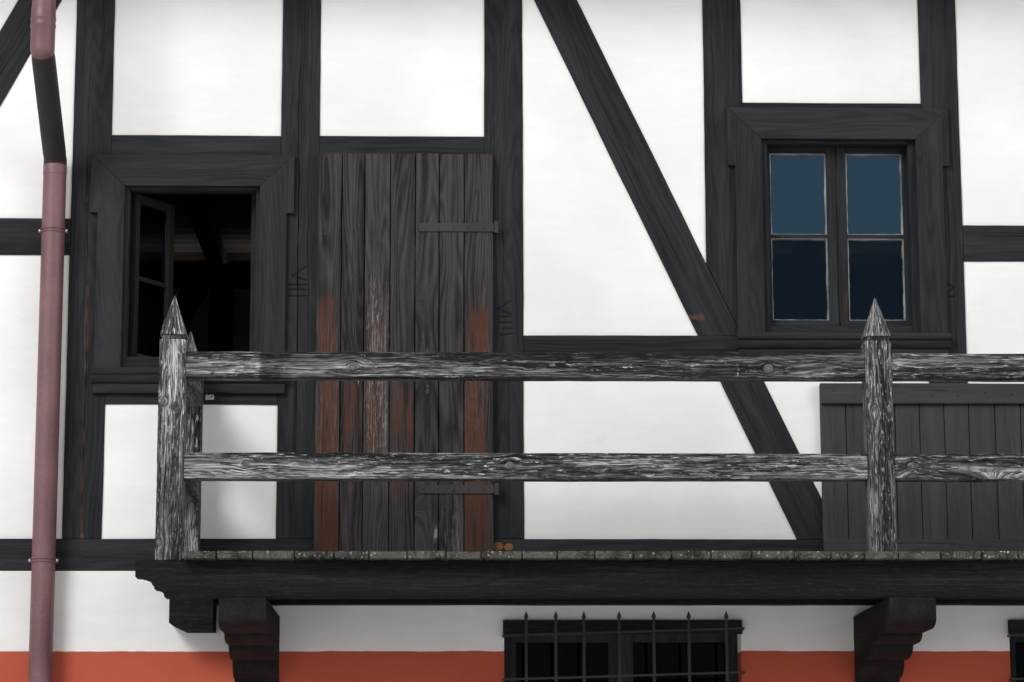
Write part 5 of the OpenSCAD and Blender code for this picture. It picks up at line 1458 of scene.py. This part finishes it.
nails = Pile()
rng = np.random.default_rng(31)
for number, (start, stop) in enumerate(zip(door_joints[:-1], door_joints[1:])):
    for low in (leaf_lo[2] + 0.300, leaf_hi[2] - 0.400):
        for share in (0.3, 0.7):
            x = start + (stop - start) * share + rng.uniform(-0.006, 0.006)
            nail(nails, x, leaf_lo[1], low + rng.uniform(-0.012, 0.012), 0.0055, number)
for number, (start, stop) in enumerate(zip(screen_joints[:-1], screen_joints[1:])):
    for z in (s_lo[2] + 0.120, s_hi[2] - 0.050):
        x, drop = (start + stop) / 2 + rng.uniform(-0.02, 0.02), rng.uniform(-0.02, 0.02)
        nail(nails, x, s_lo[1], z + drop, 0.0048, number)
for strap in solids("door_hinges"):
    lo, hi = strap.min(0), strap.max(0)
    for x in np.linspace(lo[0] + 0.022, hi[0] - 0.075, 5):
        z = (lo[2] + hi[2]) / 2 + rng.uniform(-0.004, 0.004)
        nail(nails, x, leaf_lo[1] - 0.007, z, 0.0075, int(x * 1000) + 9000)
nails.build("hand_made_nails", [IRON], "wrought_iron", smooth=50)

BRACKET_X, BRACKET_Z, HOLE_R, PLATE_T = -3.080, 3.700, 0.0045, 0.0023
bracket = bpy.data.meshes.new("bracket_plate")
bm = bmesh.new()
loops = [[(0, 0), (0.042, 0.002), (0.041, 0.040), (0.002, 0.042)]]
bearings = np.linspace(0, 2 * math.pi, 14, False)
for hole_x, hole_z in ((0.013, 0.027), (0.029, 0.014)):
    loops.append([(hole_x + HOLE_R * math.cos(a), hole_z + HOLE_R * math.sin(a)) for a in bearings])
edges = []
for loop in loops:
    verts = [bm.verts.new((BRACKET_X + x, FACE - 0.0025, BRACKET_Z + z)) for x, z in loop]
    edges += [bm.edges.new((a, b)) for a, b in zip(verts, verts[1:] + verts[:1])]
bmesh.ops.triangle_fill(bm, edges=edges, use_beauty=True)
for v in bmesh.ops.extrude_face_region(bm, geom=list(bm.faces))["geom"]:
    if isinstance(v, bmesh.types.BMVert):
        v.co.y += PLATE_T
bmesh.ops.recalc_face_normals(bm, faces=bm.faces)
bm.to_mesh(bracket)
bm.free()
bracket.materials.append(ZINC)
finish_piece("old_bracket_plate", bracket)

# %% [markdown]
# The roof is laid with flat tiles with curved tails, two layers thick, each course
# set half a tile sideways. They sit on a boarded layer and follow the roof slope.
# Ridge tiles overlap along the top, each with a thicker collar.

# %% Roof tiles
TILE_W, GAUGE, TILE_L, TILE_T, SAG = 0.182, 0.165, 0.36, 0.014, 0.034
COVER_T, LAYER_T, TAIL_LIFT, HEAD_DROP = 0.080, 0.028, 0.061, 0.032
cover_lo, cover_hi = (np.array(c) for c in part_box("roof_covering"))
cover = solids("roof_covering")[0]
ridge_y = (cover_lo[1] + cover_hi[1]) / 2
under_ridge = cover[np.abs(cover[:, 1] - ridge_y) < 1e-3][:, 2].min()
eave = cover[np.argsort(cover[:, 2])[:1]][0]
eave_low = np.array([abs(cover[cover[:, 2] < eave[2] + 1e-3][:, 1] - ridge_y).max(), eave[2]])
slope_length = math.hypot(eave_low[0], under_ridge - eave_low[1])
up_slope = np.array([-eave_low[0], under_ridge - eave_low[1]]) / slope_length
outward = np.array([up_slope[1], -up_slope[0]])


def on_slope(side, x, s, n):
    """World points from places on a slope: along the house, up the slope and out from it."""
    away = eave_low[0] + up_slope[0] * s + outward[0] * n
    z = eave_low[1] + up_slope[1] * s + outward[1] * n
    return np.stack([np.broadcast_to(x, np.shape(away)), ridge_y + side * away, z], -1)


def slab_faces(n):
    """Faces of a plate between two outlines of n points."""
    walls = [(k, k + n, (k + 1) % n + n, (k + 1) % n) for k in range(n)]
    return [tuple(range(n)), tuple(range(2 * n - 1, n - 1, -1))] + walls


for side, label in ((-1, "front"), (1, "rear")):
    tiles = Pile()
    rng = np.random.default_rng(1500 + side)
    x0, x1 = cover_lo[0] + 0.004, cover_hi[0] - 0.004
    ring = np.array([(0, 0), (slope_length, 0), (slope_length - LAYER_T, LAYER_T), (0, LAYER_T)])
    pts = np.concatenate([on_slope(side, x, ring[:, 0], ring[:, 1]) for x in (x0, x1)])
    tiles.add(pts, slab_faces(4), skin=1, tone=0.2)
    courses = int((slope_length - 0.09) / GAUGE) + 1
    arc = np.linspace(-1, 1, 5)
    for course in range(courses):
        s0 = 0.002 + course * GAUGE
        length = min(TILE_L, slope_length - s0 - 0.035)
        starts = np.arange(x0 - (TILE_W / 2 if course % 2 else 0), x1 - 0.02, TILE_W)
        for start in starts:
            low, high = max(start, x0) + 0.0015, min(start + TILE_W, x1) - 0.0015
            if high - low < 0.03:
                continue
            half, middle = (high - low) / 2, (high + low) / 2
            if half > 0.08:
                tail = SAG * (1 - np.sqrt(np.clip(1 - arc ** 2, 0, 1))) ** 0.8
            else:
                tail = SAG * 0.6 * np.abs(arc) ** 2
            rounded = np.column_stack([middle + half * arc, s0 + tail])
            outline = np.concatenate([rounded, [[high, s0 + length], [low, s0 + length]]])
            outline[:, 1] += rng.normal(0, 0.0015)
            along = (outline[:, 1] - s0) / TILE_L
            twist = rng.normal(0, 0.006) * (outline[:, 0] - middle)
            base = TAIL_LIFT - HEAD_DROP * along + rng.uniform(-0.001, 0.0015) + twist
            top = np.minimum(base + TILE_T, COVER_T - 0.0006)
            points = np.concatenate([on_slope(side, *outline.T, out) for out in (base, top)])
            tiles.add(points, slab_faces(len(outline)), tone=np.clip(rng.normal(0.5, 0.22), 0, 1))
    replaced = ["roof_covering"] if side < 0 else []
    tiles.build(label + "_roof_tiles", [TILE, INNER], "clay_tile", replaced, smooth=30)

# %% Ridge tiles
RIDGE_R, RIDGE_T, RIDGE_L, RIDGE_LAP = 0.130, 0.014, 0.40, 0.012


def half_round(outer, inner, angle):
    """Section of a half-round shell that opens upwards: its outer arc, and its inner one back."""
    arcs = ((outer, angle), (inner, angle[::-1]))
    return np.concatenate([np.column_stack([r * np.sin(a), -r * np.cos(a)]) for r, a in arcs])


def shell_faces(rings, n):
    """Faces of such a shell from rings of n points, with its two ends."""
    faces = tube_faces(rings, n)
    for first, flip in ((0, 1), ((rings - 1) * n, -1)):
        faces += [tuple([first + i, first + i + 1, first + n - 2 - i, first + n - 1 - i][::flip])
                  for i in range(n // 2 - 1)]
    return faces


ridge_lo, ridge_hi = (np.array(c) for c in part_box("ridge_tiles"))
ridge_centre = ridge_hi[2] - RIDGE_R
ridge_pile = Pile()
count = round((ridge_hi[0] - ridge_lo[0]) / RIDGE_L)
pitch_x = (ridge_hi[0] - ridge_lo[0] - 0.004) / count
spread_angle = math.acos(np.clip((ridge_lo[2] + 0.012 - ridge_centre) / RIDGE_R, -1, 1))
angle = np.linspace(-spread_angle, spread_angle, 13)
rng = np.random.default_rng(8)
for number in range(count):
    start = ridge_lo[0] + 0.002 + number * pitch_x
    end = pitch_x + (RIDGE_LAP if number < count - 1 else 0)
    shape = [(0, 0.1285), (0.028, 0.1295), (0.034, 0.1235), (pitch_x * 0.5, 0.1225), (end, 0.1210)]
    rings = []
    tilt = rng.uniform(-0.0008, 0)
    for x, r in shape:
        arc = half_round(r, r - RIDGE_T, angle)
        y, z = ridge_y + arc[:, 0], ridge_centre + tilt - arc[:, 1]
        rings.append(np.column_stack([np.full(len(arc), start + x), y, z]))
    faces = shell_faces(len(rings), 2 * len(angle))
    ridge_pile.add(np.concatenate(rings), faces, tone=np.clip(rng.normal(0.5, 0.2), 0, 1))
ridge_pile.build("collared_ridge_tiles", [TILE], "clay_tile", ["ridge_tiles"], smooth=40)

# %% [markdown]
# Sheet metal is thin: gutters are half-round with a rolled front bead and strap
# brackets. The downpipe turns in behind the eaves with a swan neck. Its slanted part
# is dark brown, darkened further as painted shade from the eaves.

# %% Gutters
gutters = Pile()
angle = np.linspace(-math.pi / 2, math.pi / 2, 15)
for number, solid in enumerate(solids("gutters")):
    lo, hi = solid.min(0), solid.max(0)
    middle_y, top, outer = (lo[1] + hi[1]) / 2, hi[2], (hi[1] - lo[1]) / 2
    forward = -1 if number == 0 else 1
    ring = half_round(outer - 0.001, outer - 0.0032, angle)
    rings = []
    for x in np.linspace(lo[0] + 0.003, hi[0] - 0.003, 13):
        y, z = middle_y + ring[:, 0], top + ring[:, 1] + 0.0005 * ripple(4, x)
        rings.append(np.column_stack([np.full(len(ring), x), y, z]))
    gutters.add(np.concatenate(rings), shell_faces(len(rings), len(ring)))
    bead_y = middle_y + forward * (outer - 0.007)
    bead = [(x, bead_y, top - 0.007) for x in np.linspace(lo[0] + 0.003, hi[0] - 0.003, 14)]
    turned(gutters, bead, [0.006] * 14, sides=8)
    inside = outer - 0.002
    for x in (lo[0] + 0.002, hi[0] - 0.002):
        fan = [(middle_y + inside * math.sin(a), top - inside * math.cos(a)) for a in angle]
        gutters.add([(x + shift, y, z) for shift in (-0.001, 0.001) for y, z in fan], slab_faces(len(fan)))
    strap = half_round(outer - 0.0001, outer - 0.0035, angle)
    for x in np.arange(lo[0] + 0.35, hi[0] - 0.2, 0.78):
        rings = [np.column_stack([np.full(len(strap), x + shift), middle_y + strap[:, 0], top + strap[:, 1]])
                 for shift in (-0.014, 0.014)]
        gutters.add(np.concatenate(rings), shell_faces(2, len(strap)), tone=0.3)
gutters.build("beaded_gutters", [PIPE], "painted_sheet_metal", ["gutters"], smooth=40)

# %% Downpipes
pipes = Pile()
NECK_TOP, NECK_FALL, PIPE_R, SHOE_Z, SIDES = 5.275, 0.405, 0.0575, 0.150, 28
HIGH_OUT, LOW_OUT = 0.605, 0.090
SLIM, TIP = PIPE_R - 0.0015, 0.004
# Two rolled beads below the gutter: height over the neck in metres, swell in millimetres.
BEADS = [(0.105, 0), (0.110, 2), (0.117, 3), (0.124, 2), (0.129, 0), (0.139, 0), (0.144, 2), (0.151, 3),
         (0.158, 2), (0.163, 0), (0.205, 0), (0.206, -2)]
for solid in solids("downpipes"):
    lo, hi = solid.min(0), solid.max(0)
    forward = 1 if lo[1] < 0 else -1
    x, wall = (lo[0] + hi[0]) / 2, (hi if forward > 0 else lo)[1]

    def at(out, z):
        """A point this far in front of the wall, at this height."""
        return (x, wall - forward * out, z)

    low_z = NECK_TOP - NECK_FALL
    dome = [(-PIPE_R * math.sin(a), PIPE_R * math.cos(a)) for a in np.linspace(1.35, 0, 6)]
    profile = [(NECK_TOP + z, max(r, TIP)) for z, r in dome]
    profile += [(NECK_TOP + z, PIPE_R + swell / 1000) for z, swell in BEADS]
    profile.append((hi[2] - 0.001, PIPE_R - 0.002))
    turned(pipes, [at(HIGH_OUT, z) for z, _ in profile], [r for _, r in profile], 0, SIDES)
    steps = np.linspace(0.0, 1.0, 14)
    slanted = [at(HIGH_OUT + (LOW_OUT - HIGH_OUT) * t, NECK_TOP + (low_z - NECK_TOP) * t) for t in steps]
    # Skin 1, the slanted part, its elbows and the wall stems, is the dark brown sheet in painted shade.
    turned(pipes, slanted, [SLIM if 0.06 < t < 0.93 else PIPE_R - 0.004 for t in steps], 1, SIDES)
    elbow = [(PIPE_R * math.sin(a) * 0.98, PIPE_R * math.cos(a) * 0.98) for a in np.linspace(1.35, 0, 6)]
    route = [at(LOW_OUT, low_z + z) for z, _ in elbow] + [at(LOW_OUT, low_z - 0.032)]
    turned(pipes, route, [max(r, TIP) for _, r in elbow] + [PIPE_R * 0.98], 1, SIDES)
    drop = [(low_z - 0.028, PIPE_R - 0.001), (low_z - 0.030, PIPE_R), (low_z - 0.075, PIPE_R),
            (low_z - 0.076, SLIM)]
    drop += [(z, SLIM) for z in np.linspace(low_z - 0.4, 2.20, 6)]
    drop += [(2.14, SLIM), (2.139, PIPE_R), (2.10, PIPE_R), (2.098, SLIM)]
    drop += [(z, SLIM) for z in (1.5, 0.8, SHOE_Z)]
    shoe = [(LOW_OUT + 0.090 * t, SHOE_Z - 0.080 * t) for t in np.linspace(0.25, 1, 4)]
    route = [at(LOW_OUT, z) for z, _ in drop] + [at(out, z) for out, z in shoe]
    turned(pipes, route, [r for _, r in drop] + [PIPE_R - 0.001, PIPE_R - 0.001, PIPE_R, PIPE_R], 0, SIDES)
    for z in (low_z - 0.354, 2.835 + 0.077, 0.900):
        for lift in (-0.0115, 0.0035):
            turned(pipes, [at(LOW_OUT, z + lift + d) for d in (0, 0.001, 0.007, 0.008)],
                   [PIPE_R, PIPE_R + 0.0035, PIPE_R + 0.0035, PIPE_R], 0, SIDES, 0.4)
        for lug in (-1, 1):
            for b in (-0.0065, 0.0015):
                pts = [(x + lug * (PIPE_R - 0.003 + 0.016 * a), wall - forward * (LOW_OUT + b + 0.005 * d),
                        z + c)
                       for a in (0, 1) for d in (0, 1) for c in (-0.011, 0.007)]
                walls = [(0, 1, 3, 2), (4, 6, 7, 5), (0, 4, 5, 1), (2, 3, 7, 6), (0, 2, 6, 4), (1, 5, 7, 3)]
                pipes.add(pts, walls, tone=0.4)
            bolt_x = x + lug * (PIPE_R + 0.007)
            bolt = [(bolt_x, wall - forward * (LOW_OUT + b), z - 0.002)
                    for b in (-0.010, -0.009, 0.010, 0.013, 0.014)]
            turned(pipes, bolt, [0.003, 0.005, 0.005, 0.005, 0.003], 2, 8)
        stem = [at(out, z) for out in (0.0005, 0.006, 0.030, LOW_OUT - PIPE_R + 0.004)]
        turned(pipes, stem, [0.011, 0.010, 0.007, 0.007], 1, 10)
pipes.build("swan_neck_downpipes", [PIPE, PIPE_BROWN_PAINTED_SHADE, ZINC], "painted_sheet_metal", ["downpipes"], smooth=40)

# %% [markdown]
# The slab, ground walls, panes, grilles and strap hinges keep their CAD meshes, and
# only get a finish. The gable panels get the same lime wash as the rest.

# %% Upper panes, and lower ones with a dimmer painted reflection
pane_boxes = [(s.min(0), s.max(0)) for s in solids("window_glass")]


def is_lower_pane(lo, hi):
    """Whether a pane has another right above it."""
    return any(np.abs((a + b - lo - hi)[:2]).max() < 0.02 and a[2] > hi[2] for a, b in pane_boxes)


dim_painted_reflection = [is_lower_pane(lo, hi) for lo, hi in pane_boxes]
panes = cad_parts["window_glass"].data.copy()
panes.materials.clear()
for material in (PANE, DIM_PANE):
    panes.materials.append(material)
for face in panes.polygons:
    place = np.array(face.center)
    owner = next(k for k, (lo, hi) in enumerate(pane_boxes)
                 if (place > lo - 1e-3).all() and (place < hi + 1e-3).all())
    face.material_index = int(dim_painted_reflection[owner])
finish_piece("upper_window_panes", panes, ["window_glass"], 30)
print(sum(dim_painted_reflection), "of", len(dim_painted_reflection), "panes are dusty")

# %% Finishes on carried-over nodes
# The ground-floor glass takes the pane material that is painted shade.
for node, material in (("ground_slab", CONCRETE), ("ground_walls", MASONRY), ("gable_panels", LIME),
                       ("ground_window_glass", DARK_PANE), ("window_grilles", IRON), ("door_hinges", IRON)):
    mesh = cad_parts[node].data
    mesh.materials.clear()
    mesh.materials.append(material)
    print(node, "gets", material.name)
